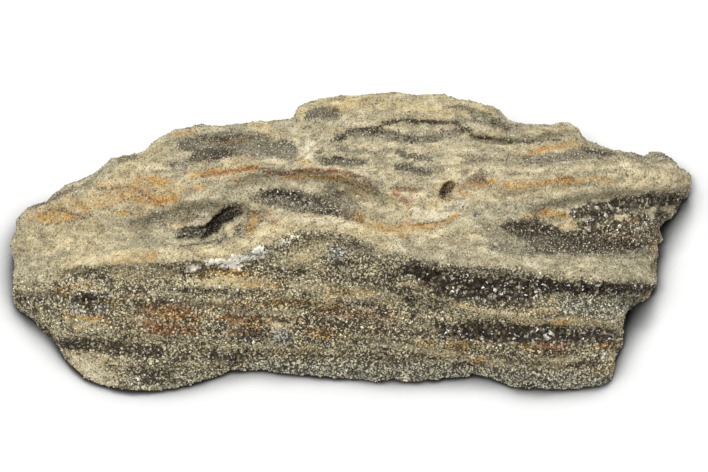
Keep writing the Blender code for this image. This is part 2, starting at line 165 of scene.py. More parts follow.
# Strokes that stain what they lie on, and strokes whose middle never wears through
STAINS = (Tone.OCHRE, Tone.RUST, Tone.RED)
UNWORN = (Tone.VOID, Tone.CHALK, Tone.GLINT)

# The strokes, section by section in the order they are laid: a tone, then one row for each stroke with
# half its width in millimetres, its strength, and along and up the seen face for each point of its path
STROKES: tuple[tuple[Tone | Row, ...], ...] = (
    # Cap and crest
    (Tone.TAN, (4.1, 0.9, -19.9, 103.6, -5.2, 106.9, 20.6, 107.7, 39.1, 106.2, 50.9, 102.5)),
    (Tone.OCHRE, (1.1, 0.5, -4.1, 106.9, 0.7, 107.3, 5.5, 108), (0.9, 0.4, -8.8, 105.8, -2.9, 105.4),
     (1.1, 0.35, 28.4, 101.4, 33.9, 101.8)),
    (Tone.SLATE, (2.4, 0.95, -16.6, 102.1, -11.8, 103.6, -5.9, 102.5),
     (1.1, 0.7, 32.4, 105.1, 38.3, 105.4, 44.2, 104),
     (3.3, 0.95, 45, 102.5, 50.1, 100.3, 54.9, 97.3, 61.9, 95.5)),
    (Tone.GLOOM, (0.7, 0.85, 8.1, 97.3, 11.1, 99.5, 18.4, 100.1, 25.1, 99.9, 30.6, 99.2, 37.6, 99.5, 41.3,
       96.6, 44.6, 94, 52, 93.3, 61.2, 93.3)),
    (Tone.CREAM, (1.1, 0.5, 11.4, 97.3, 20.6, 97, 31.7, 96.6)),
    (Tone.SLATE, (1.8, 0.95, -6.6, 92.9, -1.8, 95.9, 6.6, 95.9, 14.4, 94.4, 22.5, 93.1, 28.4, 93.3, 34.7,
       95.9, 39.1, 95.9), (1.1, 0.8, -13.3, 88.9, -11.1, 89.2)),
    (Tone.CREAM, (1.1, 0.6, -0.7, 91.4, 5.9, 91.4), (1.1, 0.6, 10.7, 91.4, 15.9, 91.1),
     (1.5, 0.7, 25.8, 90, 30.2, 90)),
    (Tone.SLATE, (1, 0.8, -5.9, 90, 0.7, 89, 8.1, 88.5), (1.2, 0.85, 15.5, 88.5, 19.5, 87, 28.4, 86.3),
     (1.7, 0.9, -11.8, 84.8, -4.8, 85.2, 2.9, 84.8), (1.7, 0.95, 16.2, 83.3, 22.5, 81.5, 28.4, 81.1)),
    # Shoulder and right top
    (Tone.TAN, (1.5, 0.9, 45.7, 95.9, 55.3, 95.9, 64.9, 95.9, 76, 97.3, 82.6, 97.3)),
    (Tone.GLOOM, (0.6, 0.7, 45.7, 94.8, 57.1, 92.2, 68.6, 92.5, 76, 93.6)),
    (Tone.OCHRE, (1.3, 0.75, 62.7, 87.4, 67.5, 88.9, 74.1, 90.7, 84.4, 91.8)),
    (Tone.RUST, (0.7, 0.6, 64.9, 88.5, 70.4, 90, 76.7, 90.7)),
    (Tone.SLATE, (2.2, 0.75, 63.8, 85.5, 73.4, 86.3, 84.4, 88.1, 95.1, 87.8)),
    (Tone.GLOOM, (1.3, 0.6, 84.1, 90.3, 90.7, 89.2, 97.3, 87.8)),
    (Tone.SLATE, (1.5, 0.75, 99.5, 87.4, 111.7, 87.8, 118.7, 85.9)),
    (Tone.CREAM, (0.4, 0.8, 60.1, 80.7, 74.1, 79.6, 88.1, 82.2, 102.5, 84.1, 121.7, 84.1),
     (0.4, 0.6, 90.7, 80.7, 105.4, 82.2, 123.1, 81.9)),
    (Tone.SLATE, (1.5, 0.45, 42.8, 87, 53.8, 85.2, 64.9, 83)),
    (Tone.CREAM, (1.8, 0.5, 46.5, 83.3, 61.2, 82.2)),
    (Tone.TAN, (2.9, 0.9, 95.1, 77.8, 111.7, 79.6, 124.3, 77.4)),
    (Tone.RUST, (1.3, 0.85, 67.8, 77.1, 76, 78.5, 84.4, 77.4)),
    (Tone.BROWN, (0.4, 0.7, 67.1, 76.7, 76, 77.4, 84.8, 76.7)),
    (Tone.OCHRE, (0.8, 0.65, 53.1, 76, 61.2, 76, 67.8, 75.6), (1.1, 0.6, 84.4, 78.5, 90.7, 78.9)),
    (Tone.RUST, (0.7, 0.6, 91.1, 78.5, 95.1, 78.5)),
    # Middle of the top
    (Tone.CREAM, (2.8, 0.9, -21, 95.1, -18.1, 91.4, -17, 88.1, -17, 84.8),
     (1.8, 0.75, 6.6, 83, 11.4, 80.7, 17, 78.5), (2.9, 0.75, 33.6, 85.2, 39.8, 83.3, 44.6, 81.5),
     (4.4, 0.85, 11.4, 72.3, 20.6, 70.4, 28, 68.6, 32.4, 66), (2.9, 0.7, 17, 64.5, 26.2, 62.3),
     (2.9, 0.5, 0.4, 70.8, 11.4, 68.2), (1.8, 0.6, 37.2, 73.7, 46.5, 73, 53.8, 74.8)),
    (Tone.SLATE, (1.8, 0.5, 5.9, 78.5, 8.1, 76)),
    (Tone.OCHRE, (1.5, 0.55, -19.2, 85.2, -15.5, 83.7), (2.2, 0.35, 26.2, 68.6, 31.7, 70.4, 37.2, 71.5)),
    (Tone.UMBER, (1.7, 0.95, 32.8, 73.4, 36.1, 76.3)),
    (Tone.BROWN, (0.7, 0.7, 4.1, 70.8, 5.5, 70.4)),
    (Tone.OCHRE, (1.1, 0.5, 30.2, 73, 31.7, 76.3, 37.2, 77.8)),
    (Tone.BROWN, (1.8, 0.8, 41.7, 78.2, 44.6, 79.6, 46.8, 78.5), (0.8, 0.75, 43.5, 85.2, 44.6, 85.5),
     (0.5, 0.75, 12.9, 76, 20.6, 75.2, 26.2, 74.8)),
    (Tone.OCHRE, (0.7, 0.6, 14.7, 74.8, 21.4, 74.1, 24.3, 74.5)),
    (Tone.RUST, (1.8, 0.5, 37.2, 74.8, 42.8, 76.7, 48.7, 77.1),
     (0.8, 0.85, 14.4, 74.1, 18.1, 71.9, 21.8, 70.8),
     (0.6, 0.55, 18.4, 70.4, 20.6, 66.7, 19.9, 63, 17, 60.8)),
    (Tone.OCHRE, (1.1, 0.8, 46.8, 77.8, 52, 77.4),
     (0.7, 0.85, 15.9, 61.9, 24.3, 61.9, 32.8, 62.3, 37.6, 65.6)),
    (Tone.SAND, (8.1, 0.8, 33.6, 62.3, 44.6, 62.3, 55.7, 63),
     (2.9, 0.8, 17, 55.7, 35.4, 54.2, 53.8, 55.3),
     (2.6, 0.7, 42.8, 70.1, 53.8, 71.9, 68.6, 73, 90.7, 74.8)),
    (Tone.CREAM, (1.5, 0.6, 22.5, 55.7, 31.7, 57.1, 40.9, 64.5)),
    # Rust line and hollow
    (Tone.CREAM, (1, 0.6, -31.7, 85.2, -19.9, 84.1, -3.3, 82.2, 7.7, 79.6)),
    (Tone.BROWN, (0.7, 0.9, -33.9, 82.6, -25.4, 81.5, -16.2, 82.2, -5.2, 81.1, 2.2, 79.3, 7.7, 76.3),
     (1.3, 0.8, 0.7, 78.2, 6.6, 75.6)),
    (Tone.OCHRE, (0.9, 0.6, -19.9, 80, -5.2, 78.5, 5.2, 74.5)),
    (Tone.SAND, (1.3, 0.7, -30.2, 78.5, -19.9, 78.2, -7, 76.7)),
    (Tone.GLOOM, (4.1, 0.7, -33.9, 71.9, -23.6, 71.5, -12.5, 69.3, -3.3, 64.5)),
    (Tone.BLACK, (1.8, 0.6, -31.7, 73.7, -23.6, 73, -15.5, 69.3)),
    (Tone.RUST, (2.9, 0.4, -39.5, 66, -33.9, 66.7, -29.1, 62.3)),
    (Tone.SLATE, (2.9, 0.7, -8.8, 74.1, -0.7, 68.6, 2.2, 63)),
    (Tone.OCHRE, (2.2, 0.4, -1.5, 64.9, 7.7, 61.2, 15.1, 60.1)),
    # Upper left
    (Tone.OCHRE, (5.2, 0.5, -98.1, 69.3, -86.3, 74.5, -75.2, 76.3, -64.9, 74.1)),
    (Tone.BROWN, (0.6, 0.85, -116.9, 65.6, -112.1, 67.1, -107.3, 67.5, -103.6, 66, -108.4, 63.4, -112.1,
       62.3, -116.9, 65.3)),
    (Tone.OCHRE, (1.5, 0.75, -113.9, 64.9, -106.6, 65.6)),
    (Tone.TAN, (3.3, 0.6, -90, 79.6, -78.9, 84.1, -69.7, 88.9)),
    (Tone.GLOOM, (1.5, 0.5, -86.3, 85.9, -79.6, 86.6)),
    (Tone.OCHRE, (1.8, 0.6, -88.1, 70.4, -82.6, 72.3, -75.2, 68.6)),
    (Tone.RUST, (1.3, 0.55, -79.6, 75.2, -75.2, 72.3, -77.1, 68.2),
     (0.6, 0.7, -103.6, 66, -97.3, 65.6, -94.8, 64.5)),
    (Tone.OCHRE, (1.7, 0.8, -74.1, 70.1, -66, 71.5), (1, 0.7, -67.1, 68.2, -62.7, 69.3),
     (1.5, 0.95, -58.3, 75.6, -55.3, 75.2), (0.5, 0.7, -90, 65.6, -77.1, 66),
     (3.3, 0.35, -120.2, 64.9, -112.1, 67.8, -101, 70.4)),
    (Tone.GLOOM, (1.1, 0.5, -120.2, 68.2, -108.4, 73, -97.3, 78.2)),
    (Tone.SLATE, (4.8, 0.85, -61.9, 91.4, -51.2, 91.4, -38.3, 91.4, -22.9, 89.2)),
    (Tone.GLOOM, (2.6, 0.6, -59.4, 86.6, -53.8, 87.8, -46.5, 88.1)),
    (Tone.SLATE, (2.2, 0.7, -66.4, 83.3, -60.5, 85.2)),
    (Tone.OCHRE, (1.5, 0.75, -60.5, 80.7, -51.2, 81.1, -42, 82.2, -33.9, 83)),
    (Tone.RUST, (0.6, 0.6, -53.1, 92.5, -47.6, 93.3, -40.2, 93.3),
     (0.6, 0.6, -54.9, 81.1, -43.9, 81.9, -35.4, 83), (1.1, 0.7, -45.4, 75.6, -42, 78.9)),
    (Tone.CREAM, (2.4, 0.6, -38.3, 98.4, -31.7, 98.4), (0.9, 0.5, -54.9, 79.3, -45.7, 79.6)),
    (Tone.OCHRE, (1, 0.5, -67.1, 95.1, -58.3, 96.6), (1.7, 0.3, -37.6, 99.2, -31, 97.7)),
    (Tone.SAND, (3.3, 0.85, -69.7, 65.6, -56.8, 71.5, -45, 73.4, -33.9, 77.1)),
    (Tone.SLATE, (1.5, 0.5, -51.2, 95.1, -42, 96.2)),
    (Tone.TAN, (6.3, 0.75, -123.1, 55.7, -112.1, 56.8, -101, 58.3, -84.4, 58.6)),
    # Slot
    (Tone.GLOOM, (3.1, 0.5, -75.2, 61.9, -64.2, 65.3, -51.2, 67.1, -42, 67.8),
     (1.8, 0.5, -62.7, 57.5, -54.9, 60, -47.6, 64.4)),
    (Tone.ASH, (1.8, 0.9, -64, 58.6, -60, 59.4, -56.5, 60.2)),
    (Tone.GLOOM, (3.4, 0.9, -46.6, 58.6, -43.6, 61.8)),
    # Painted shade in the slot's opening and in the gap beside its lump
    (Tone.VOID, (0.7, 1, -64.5, 57.2, -61.6, 58, -59.5, 57.4), (1.8, 1, -56.2, 57.6, -50.5, 60.2),
     (1.7, 1, -50.5, 60.6, -46.6, 63.6, -42, 66.6), (0.5, 1, -42.6, 59.2, -41.9, 61.4)),
    (Tone.SLATE, (1.6, 0.95, -65.6, 53.4, -54.9, 54.3, -43.5, 56.6),
     (1.2, 0.8, -41.2, 58.5, -39.6, 62.5, -39.2, 66.5)),
    # Right hollow: its dark druse is partly its own smoky colour and partly painted shade under the brow
    (Tone.GLOOM, (4.1, 0.85, 76, 56.4, 90.7, 56.4, 109.1, 57.1, 114.7, 64.9)),
    (Tone.BLACK, (2.8, 0.8, 80.7, 66.4, 90.7, 67.8, 105.4, 70.4, 121.7, 71.9)),
    (Tone.SLATE, (3.3, 0.7, 56.8, 53.5, 76, 53.5, 98.1, 52, 109.1, 52)),
    (Tone.GLOOM, (2.6, 0.6, 55.7, 57.1, 64.9, 60.1, 76, 58.6)),
    (Tone.OCHRE, (1.5, 0.85, 64.2, 64.9, 71.5, 66.4, 78.2, 65.3)),
    (Tone.CREAM, (1.5, 0.75, 77.1, 60.5, 85.2, 61.6, 92.9, 62.3),
     (1.3, 0.85, 94.8, 64.5, 98.8, 65.3, 102.9, 63.4)),
    (Tone.OCHRE, (0.9, 0.6, 76, 61.9, 81.5, 62.7, 87, 60.5)),
    (Tone.RUST, (1.8, 0.35, 90.7, 58.6, 105.4, 56.4), (1.8, 0.4, 111, 60.1, 109.9, 52)),
    (Tone.TAN, (1.1, 0.6, 81.5, 70.1, 92.9, 72.3, 105.4, 73.7)),
    # Ridge
    (Tone.SAND, (2, 0.95, 9.6, 54.6, 22.5, 51.6, 36.5, 50.5, 47.9, 49.4, 60.1, 48.3, 74.1, 46.8, 92.9,
       44.6, 109.9, 42)),
    # The tan along the long crest is partly its own dust and partly a painted highlight where the crest
    # catches the light
    (Tone.TAN, (2.9, 0.95, -110.2, 47.6, -96.6, 49.8, -79.6, 50.5, -62.7, 51.2, -50.1, 52, -41.7, 54.6,
       -33.2, 57.9, -24.7, 61.6, -16.2, 63.4, -7.7, 62.7, 2.2, 59.4, 12.5, 54.2)),
    (Tone.CHALK, (1.1, 1, -61, 45.2, -56.9, 46.9), (1.1, 1, -53.6, 48.6, -49, 48.1),
     (1.8, 1, -48.6, 47.4, -42.5, 46.2), (1, 1, -54, 48.4, -47, 48.6, -42, 47.6),
     (1.6, 1, -43.5, 49.7, -36.7, 50.4), (2.2, 1, -35.9, 51, -31.8, 53), (1.2, 1, -27, 55, -25, 55.5),
     (0.5, 0.9, -22.6, 57.2, -21.4, 57.5)),
    (Tone.OCHRE, (1.8, 0.4, -90.7, 49.4, -75.2, 50.1)),
    (Tone.SLATE, (1.3, 0.6, 17, 47.6, 39.1, 45.4, 61.2, 43.9)),
    # Right front bands
    (Tone.BLACK, (4.8, 0.95, 21.4, 46.1, 28, 42.4, 36.5, 39.5, 47.9, 38, 60.1, 38, 71.5, 39.5),
     (2.2, 0.85, 70.4, 39.5, 83.3, 38.3, 98.1, 38, 111, 38.3)),
    (Tone.OCHRE, (1.1, 0.55, 89.6, 8.1, 93.3, 8.5)),
    (Tone.RUST, (1.8, 0.4, 105.4, 36.5, 111, 38)),
    (Tone.SLATE, (3.3, 0.85, 77.8, 33.6, 90.7, 32.1, 105.4, 33.2)),
    (Tone.TAN, (1, 0.85, 35.4, 33.2, 46.1, 30.6, 60.1, 28.4, 74.1, 26.2, 93.6, 25.8)),
    (Tone.OCHRE, (0.8, 0.8, 75.2, 26.5, 81.9, 25.8), (1.1, 0.4, 36.1, 33.2, 46.5, 31.3)),
    (Tone.BLACK, (3.3, 0.85, 31.7, 24, 42.8, 22.9, 53.8, 21.4, 68.6, 22.1, 83.3, 21, 95.1, 20.3),
     (1.5, 0.95, 39.8, 22.5, 48.3, 22.1)),
    (Tone.RED, (1.1, 0.95, 66, 18.4, 72.3, 18.8, 78.9, 17.3)),
    (Tone.OCHRE, (1.2, 0.85, 24.7, 18.4, 28.8, 18.4), (1.8, 0.5, 35, 17.3, 39.8, 15.1, 45.4, 16.2)),
    (Tone.RUST, (0.9, 0.6, 62.7, 15.9, 70.4, 15.1, 76.7, 15.1), (1.5, 0.4, 36.1, 18.1, 44.6, 17),
     (1.8, 0.85, 90.7, 17, 95.9, 18.1)),
    (Tone.OCHRE, (1.1, 0.75, 62.7, 17.3, 64.2, 15.9), (0.8, 0.75, 40.9, 11.8, 50.5, 12.2)),
    (Tone.TAN, (1, 0.5, 50.5, 11.1, 64.9, 12.2, 84.1, 12.2)),
    (Tone.ASH, (4.4, 0.8, -36.5, 10, -5.2, 8.1, 28, 7.4, 61.2, 4.4, 91.4, 4.4)),
    # Middle front
    (Tone.RUST, (4.4, 0.3, -19.9, 26.2, -3.3, 26.9, 15.1, 24.3)),
    (Tone.OCHRE, (1, 0.75, -20.6, 33.2, -10.7, 32.8, -2.6, 32.1),
     (1.8, 0.45, -15.1, 23.6, -8.8, 22.5, -1.5, 21), (1.1, 0.5, -20.6, 17, -14.7, 16.2),
     (1, 0.55, -55.7, 32.4, -38.3, 32.8, -19.9, 33.2)),
    (Tone.GLOOM, (3.3, 0.4, -8.8, 42.8, 5.9, 39.8, 20.6, 36.9)),
    (Tone.TAN, (3.3, 0.45, -25.4, 47.6, -16.2, 51.2, -8.8, 55.7),
     (3.3, 0.35, -19.9, 39.1, -1.5, 37.2, 17, 34.3), (1.3, 0.5, 17, 17, 31.7, 14.4, 42.8, 14.4)),
    (Tone.FROST, (3.3, 0.9, -7, 50.9, -4.8, 52), (3.3, 0.75, -27.7, 20.3, -25.1, 21)),
    (Tone.OCHRE, (0.7, 0.4, -27.3, 14.4, -16.2, 13.3)),
    # Left front
    (Tone.RUST, (1.5, 0.85, -79.6, 29.5, -69.7, 29.1, -58.3, 28.4),
     (1.8, 0.85, -77.8, 26.2, -67.8, 24, -56, 22.5), (1.5, 0.65, -50.5, 28, -42, 28.4, -33.9, 26.9),
     (1.5, 0.65, -47.6, 23.2, -38.3, 22.5, -31, 21.4)),
    (Tone.OCHRE, (1.1, 0.6, -75.2, 31, -62.3, 30.2), (1.1, 0.75, -31.7, 26.5, -23.6, 24.3)),
    (Tone.BLACK, (1.5, 0.6, -54.2, 13.3, -47.6, 12.9, -40.9, 12.2), (1.5, 0.6, -42, 19.5, -32.4, 20.3)),
    (Tone.GLOOM, (2.2, 0.65, -102.9, 43.5, -90, 42.8, -75.2, 43.9, -61.9, 43.5)),
    (Tone.SAND, (4.1, 0.7, -123.9, 44.6, -112.1, 42.4)),
    (Tone.CREAM, (0.7, 0.8, -125.4, 37.6, -117.6, 38.3, -109.5, 38.3)),
    (Tone.GLOOM, (1.8, 0.85, -123.9, 35, -115.8, 34.7, -104, 34.7), (3.3, 0.8, -98.8, 35, -96.6, 34.3)),
    (Tone.FROST, (1.2, 0.9, -103.6, 33.9, -101, 29.9, -95.5, 28.8, -91.1, 31.3, -91.1, 36.5)),
    (Tone.OCHRE, (0.7, 0.65, -61.9, 42.4, -45.7, 42, -25.4, 39.8),
     (1.3, 0.5, -109.5, 37.2, -104.7, 38.7, -97.3, 39.5),
     (1.2, 0.8, -107.7, 28.4, -99.2, 28, -92.2, 27.7)),
    (Tone.RUST, (2.2, 0.3, -90, 24.3, -82.6, 25.4, -77.1, 22.5)),
    (Tone.CREAM, (0.6, 0.6, -58.6, 40.2, -42, 39.8, -28.4, 38.7)),
    (Tone.OCHRE, (0.7, 0.5, -47.6, 44.2, -34.7, 43.9), (0.7, 0.45, -38.3, 36.9, -19.9, 35)),
    (Tone.BLACK, (1.5, 0.5, -84.4, 33.2, -71.5, 33.9, -60.5, 33.6)),
    (Tone.GLOOM, (2.9, 0.88, -109.5, 18.4, -93.6, 17, -71.5, 15.9), (1.5, 0.5, -88.1, 37.6, -75.2, 38.3)),
    (Tone.TAN, (1.8, 0.6, -107.7, 14.4, -97.3, 13.6, -87.8, 11.4)),
    (Tone.CREAM, (2.9, 0.85, -100.3, 8.1, -95.5, 5.9, -88.5, 3.7)),
    (Tone.GLOOM, (2.2, 0.4, -82.6, 8.5, -71.5, 7.7)),
    (Tone.ASH, (3.3, 0.5, -82.6, 3.7, -67.8, 2.6, -53.1, 6.6)),
    # Iron on the drusy face
    (Tone.OCHRE, (0.9, 0.8, -58, 44.5, -46, 45, -34, 43.5), (0.9, 0.7, -98, 27.5, -90, 26.5),
     (0.9, 0.7, -10, 37, 0, 37.5, 8, 37)),
    (Tone.RUST, (1.6, 0.7, -79, 31.5, -70, 32, -60, 30.5)),
    (Tone.OCHRE, (1.2, 0.8, -74, 29, -66, 28, -57, 26.5), (0.8, 0.7, -100, 33, -91, 33.5, -84, 33)),
    (Tone.RUST, (1.4, 0.7, -52, 29, -44, 27, -36, 27.5)),
    (Tone.OCHRE, (1.1, 0.8, -48, 26.5, -38, 25.5, -28, 26), (0.8, 0.7, -44, 33, -30, 33.5, -16, 33)),
    (Tone.BROWN, (1.2, 0.6, -66, 33.5, -54, 33.5, -42, 32), (1, 0.6, -45, 30, -30, 29.5, -20, 30.5)),
    (Tone.RUST, (1.2, 0.6, -12, 30, 0, 29, 14, 30)),
    # Pale and dark touches
    (Tone.BRICK, (1, 0.6, 95, 16.5, 99, 16, 101.5, 17)),
    # The first cream stroke follows the long crest: partly its own pale dust and partly a painted
    # highlight where the crest catches the light
    (Tone.CREAM, (2.2, 0.6, -110, 48, -96, 50, -79, 51, -62, 52, -50, 53, -42, 55.5, -33, 59, -25, 62.5,
       -16, 64, -8, 63.5, 2, 60.5), (3.5, 0.8, 94, 78, 112, 79.5, 122, 77), (3, 0.6, -100, 8, -92, 6)),
    (Tone.GLOOM, (2.6, 0.8, -102, 34.5, -96, 33.5, -92, 35), (2, 0.5, -20, 24, 0, 23, 20, 24.5),
     (1.6, 0.6, 70, 38.5, 88, 38, 106, 38)),
    (Tone.TAN, (2.4, 0.5, -88, 43.5, -74, 44, -64, 43), (1.6, 0.6, -59, 41, -45, 41.5, -30, 40.5),
     (1.2, 0.3, 38, 11, 60, 10.5, 88, 11)),
    # The first black stroke lies in the right hollow: partly the druse's own colour and partly painted
    # shade under the brow
    (Tone.BLACK, (3.6, 0.7, 84, 61, 95, 63, 107, 64), (1.8, 0.8, 72, 39.2, 90, 38.6, 107, 38.8)),
    (Tone.CREAM, (0.7, 0.6, -62, 39, -48, 39.5, -28, 38.5)),
    (Tone.GLOOM, (3.2, 0.6, 64, 53.5, 80, 54, 103, 55)),
    # Later touches
    (Tone.GLOOM, (1.2, 0.5, 40, 15, 58, 14.5, 76, 14), (1.2, 0.6, 36, 11, 48, 10.5),
     (1.2, 0.6, 56, 11.5, 70, 11), (1.2, 0.6, 78, 10.5, 90, 11),
     (1.3, 0.55, -19, 27.5, -4, 26.5, 10, 27), (1.1, 0.5, -14, 19, 2, 19.5, 20, 19)),
    (Tone.OCHRE, (0.8, 0.8, 0.2, 66.5, 3.1, 64.9, 1, 63.7),
     (0.7, 0.7, -59.7, 43.8, -48.2, 44.1, -35.1, 43.6), (0.8, 0.9, 23.6, 19, 26.5, 18.5),
     (0.9, 0.7, 33.9, 18.2, 42.1, 18.7), (0.8, 0.8, 47.1, 18.5, 50, 17.4),
     (1, 0.8, 87.4, 16.6, 91.9, 17.8), (0.8, 0.9, 43.4, 12.3, 47.9, 12.6), (0.8, 0.7, 83.7, 7.2, 87, 7)),
    (Tone.CREAM, (1.2, 0.8, 2.2, 91.2, 5.1, 91.6), (1, 0.8, -0.7, 99.5, 1, 99.3),
     (1.6, 0.7, -76.2, 85.1, -71.3, 82.2, -69.6, 86.7), (3.6, 0.85, -104, 10.5, -97, 7.5, -89, 6)),
    (Tone.STONE, (3.2, 0.85, 46.3, 102.7, 51.2, 100.3, 56.1, 98.6, 61.1, 97.2),
     (3.4, 0.6, -93.5, 62.5, -81.1, 61.9, -72.9, 62.5), (2.6, 0.6, -93.5, 57.1, -81.1, 56.3, -68, 55.5),
     (1.2, 0.45, 0, 107.6, 20, 108.4, 38, 107)),
    (Tone.ASH, (1.5, 0.5, -74.6, 64.9, -69.6, 67), (2.6, 0.5, 78, 31, 92, 31.5, 104, 30),
     (2.5, 0.5, 76, 31.5, 90, 31, 105, 31)),
    (Tone.OCHRE, (1.4, 0.9, -75.4, 79.3, -69.6, 77.7), (0.9, 0.9, -72.9, 71.1, -64.7, 70.9),
     (2, 0.6, -78.3, 50.4, -73.7, 50.5), (0.8, 0.9, 73.4, 26.1, 76.7, 26.1)),
    (Tone.MILK, (2.5, 0.5, -100, 9, -93, 6.5), (1.2, 0.7, -103.8, 13.3, -100.5, 11.7),
     (2, 0.6, -98.4, 7.5, -93.5, 5.9, -87.7, 3.4)),
    (Tone.BRICK, (0.9, 0.8, -76.6, 30.4, -71.3, 28.5), (1, 0.9, 66, 18.4, 70.1, 17.6, 75.9, 17.2)),
    (Tone.BROWN, (0.3, 0.8, -48, 72.3, -46.6, 70.1), (1, 0.8, -84.4, 28.5, -77.8, 26.5),
     (1.1, 0.7, -47.4, 27.3, -40, 25.7)),
    (Tone.CREAM, (1.6, 0.7, -98, 73.2, -91.8, 75.2), (1.4, 0.7, -87.7, 68.6, -84.4, 70.1)),
    (Tone.OCHRE, (1.2, 0.9, -95.1, 76.1, -91, 77.5), (1.1, 0.9, -87.3, 66.8, -84, 66),
     (2.1, 0.95, -115.3, 64.4, -109.9, 64.9, -104.6, 65.2), (1, 0.85, -69.6, 27.1, -59.7, 28)),
    (Tone.BROWN, (0.45, 0.75, -96, 74.2, -89.4, 75.2, -82, 76.1, -77.8, 74.2),
     (0.4, 0.85, -114.9, 66, -109.9, 67.3, -105, 66.6, -101.7, 65.4),
     (0.4, 0.9, -116.1, 62.5, -111.6, 61.9, -105.8, 63.5, -97.6, 64.9, -95.1, 64.9)),
    (Tone.RUST, (0.6, 0.8, -77.8, 72.8, -73.7, 70.1, -66.3, 71.1), (1.1, 0.9, -76.2, 23.6, -69.6, 21.9),
     (0.9, 0.8, -37.9, 24.2, -33.8, 22.2)),
    (Tone.BROWN, (0.5, 0.7, -84.4, 66.8, -80.3, 66, -77, 66.6), (0.9, 0.5, -79.5, 75.2, -77.8, 72.8)),
    (Tone.GLOOM, (1.8, 0.5, 50.4, 99.5, 56.1, 97.4), (1.1, 0.5, -104.2, 55.1, -102.5, 54.8)),
    (Tone.STONE, (1.7, 0.75, 51.2, 94.5, 61.1, 93.9, 70.9, 94.5, 80.8, 95.7),
     (1.5, 0.5, -123.5, 60.4, -123.1, 53.8, -122.7, 47.2)),
    (Tone.CREAM, (0.8, 0.8, 47.1, 93.3, 52, 92.5, 59.4, 89.2, 64.4, 88.3),
     (0.7, 0.85, 59.4, 82, 72.6, 82, 87.4, 82.2, 97.3, 83.8, 108.8, 84.6, 120.3, 83.4)),
    (Tone.OCHRE, (1.4, 0.8, 68.5, 77.1, 76.7, 78.2, 84.9, 78.1), (0.8, 0.8, 91.1, 78.5, 95.6, 78.5)),
    (Tone.BROWN, (0.45, 0.8, 70.1, 77.6, 77.5, 79.3, 84.1, 79.3), (0.4, 0.8, 72.6, 75.8, 84.1, 76)),
    (Tone.ASH, (0.8, 0.8, 64.4, 19.7, 70.1, 20.4, 77.5, 19)),
    (Tone.OCHRE, (0.6, 0.7, 54.5, 77.9, 67.7, 77.4), (0.7, 0.8, 60.2, 18, 62.3, 17.4)),
    (Tone.BLACK, (0.8, 0.8, -45.8, 20.1, -33, 20.4)),
    (Tone.CREAM, (1, 0.7, 57.8, 79.3, 67.7, 78.6)),
    (Tone.TAN, (2, 0.6, 44.6, 71.5, 56.1, 72.3, 72.6, 73.9, 84.9, 75.6, 101.4, 76, 113.7, 76.8),
     (2.5, 0.35, -106, 26, -94, 25)),
    (Tone.STONE, (2.3, 0.7, 47.9, 68.2, 60.2, 68.2, 72.6, 69.8, 80.8, 71.5, 91.5, 73.9, 105.5, 74.8),
     (1.5, 0.8, 99.8, 87.1, 108.8, 86.6, 117, 85.1), (1.2, 0.5, 89.1, 74.8, 105.5, 75.4, 122, 75.6)),
    (Tone.GLOOM, (4.2, 0.75, 54.5, 60, 64.4, 60.8, 72.6, 58.3, 80.8, 56.7)),
    (Tone.SLATE, (3.5, 0.7, 51.2, 54.2, 64.4, 55, 76.7, 55),
     (2.6, 0.5, -38.8, 59.6, -36.3, 63.7, -32.6, 67.4)),
    (Tone.BLACK, (1.2, 0.7, 51.2, 54.2, 56.1, 55), (1, 0.6, 56.1, 60.8, 61.1, 61.6),
     (1.5, 0.6, -101, 36, -97, 34.5, -94, 36)),
    (Tone.TAN, (3, 0.35, -21, 50, -12, 46)),
    (Tone.CREAM, (1.3, 0.9, 96.9, 64.5, 100.2, 64.7), (0.9, 0.85, 90.3, 61.4, 93.2, 60.8),
     (0.8, 0.8, 88.2, 70.7, 94.4, 71), (1, 0.8, 75.9, 60.8, 78.8, 60)),
    (Tone.OCHRE, (1, 0.8, 101.8, 63.2, 104.7, 63.7), (2.2, 0.75, -38.8, 59.6, -35.9, 64.5),
     (0.6, 0.7, -41.6, 39.6, -25.2, 39)),
    (Tone.MILK, (3, 0.75, 23.2, 66.5, 29.8, 64.9, 35.6, 68.2, 41.3, 69.8),
     (0.9, 0.6, -32.2, 26.3, -23.5, 25.2)),
    (Tone.CREAM, (2, 0.8, 18.3, 73.1, 25.7, 69.8), (2.2, 0.7, 23.2, 59.5, 33.1, 58.3, 44.6, 58.3),
     (1.4, 0.8, 10.9, 74.8, 14.2, 72.3, 18.3, 68.2), (2.2, 0.7, 33.9, 83.8, 38, 80.5, 31.4, 78.1)),
    (Tone.BROWN, (0.45, 0.9, 12.9, 75.4, 18.3, 74.9, 22.4, 74.1, 25.7, 74.8),
     (1.5, 0.8, -1.5, 79.3, 2.6, 78.9, 5.9, 77.9), (1.3, 0.85, 43.4, 78.7, 47.2, 77.9),
     (0.5, 0.9, -59.7, 79.6, -51.5, 80.6, -43.3, 82.1, -35.9, 82.6, -31.8, 81.4, -27.6, 80.2, -21.1, 81.3,
       -15.3, 81.6, -1.5, 80.8)),
    (Tone.RUST, (0.4, 0.8, 27.5, 89.4, 28.3, 90.6, 29.5, 90.2), (0.6, 0.7, 100.6, 80.1, 103, 79.3),
     (0.8, 0.7, -29.7, 62.9, -28.5, 61.9), (0.9, 0.7, -20.2, 23.6, -8.7, 20.9)),
    (Tone.CREAM, (1.4, 0.7, 39.7, 87.1, 44.6, 83.4), (2.4, 0.5, 96, 77, 110, 77.5, 120, 76.5),
     (3, 0.5, 96, 78, 108, 78, 120, 77)),
    (Tone.OCHRE, (0.8, 0.7, 38.4, 74.8, 43, 72.5, 41.3, 73.8),
     (0.6, 0.8, -27.6, 78.9, -15.3, 79.9, -2.1, 79.6), (0.7, 0.85, -15.3, 20.9, -8.7, 20.2)),
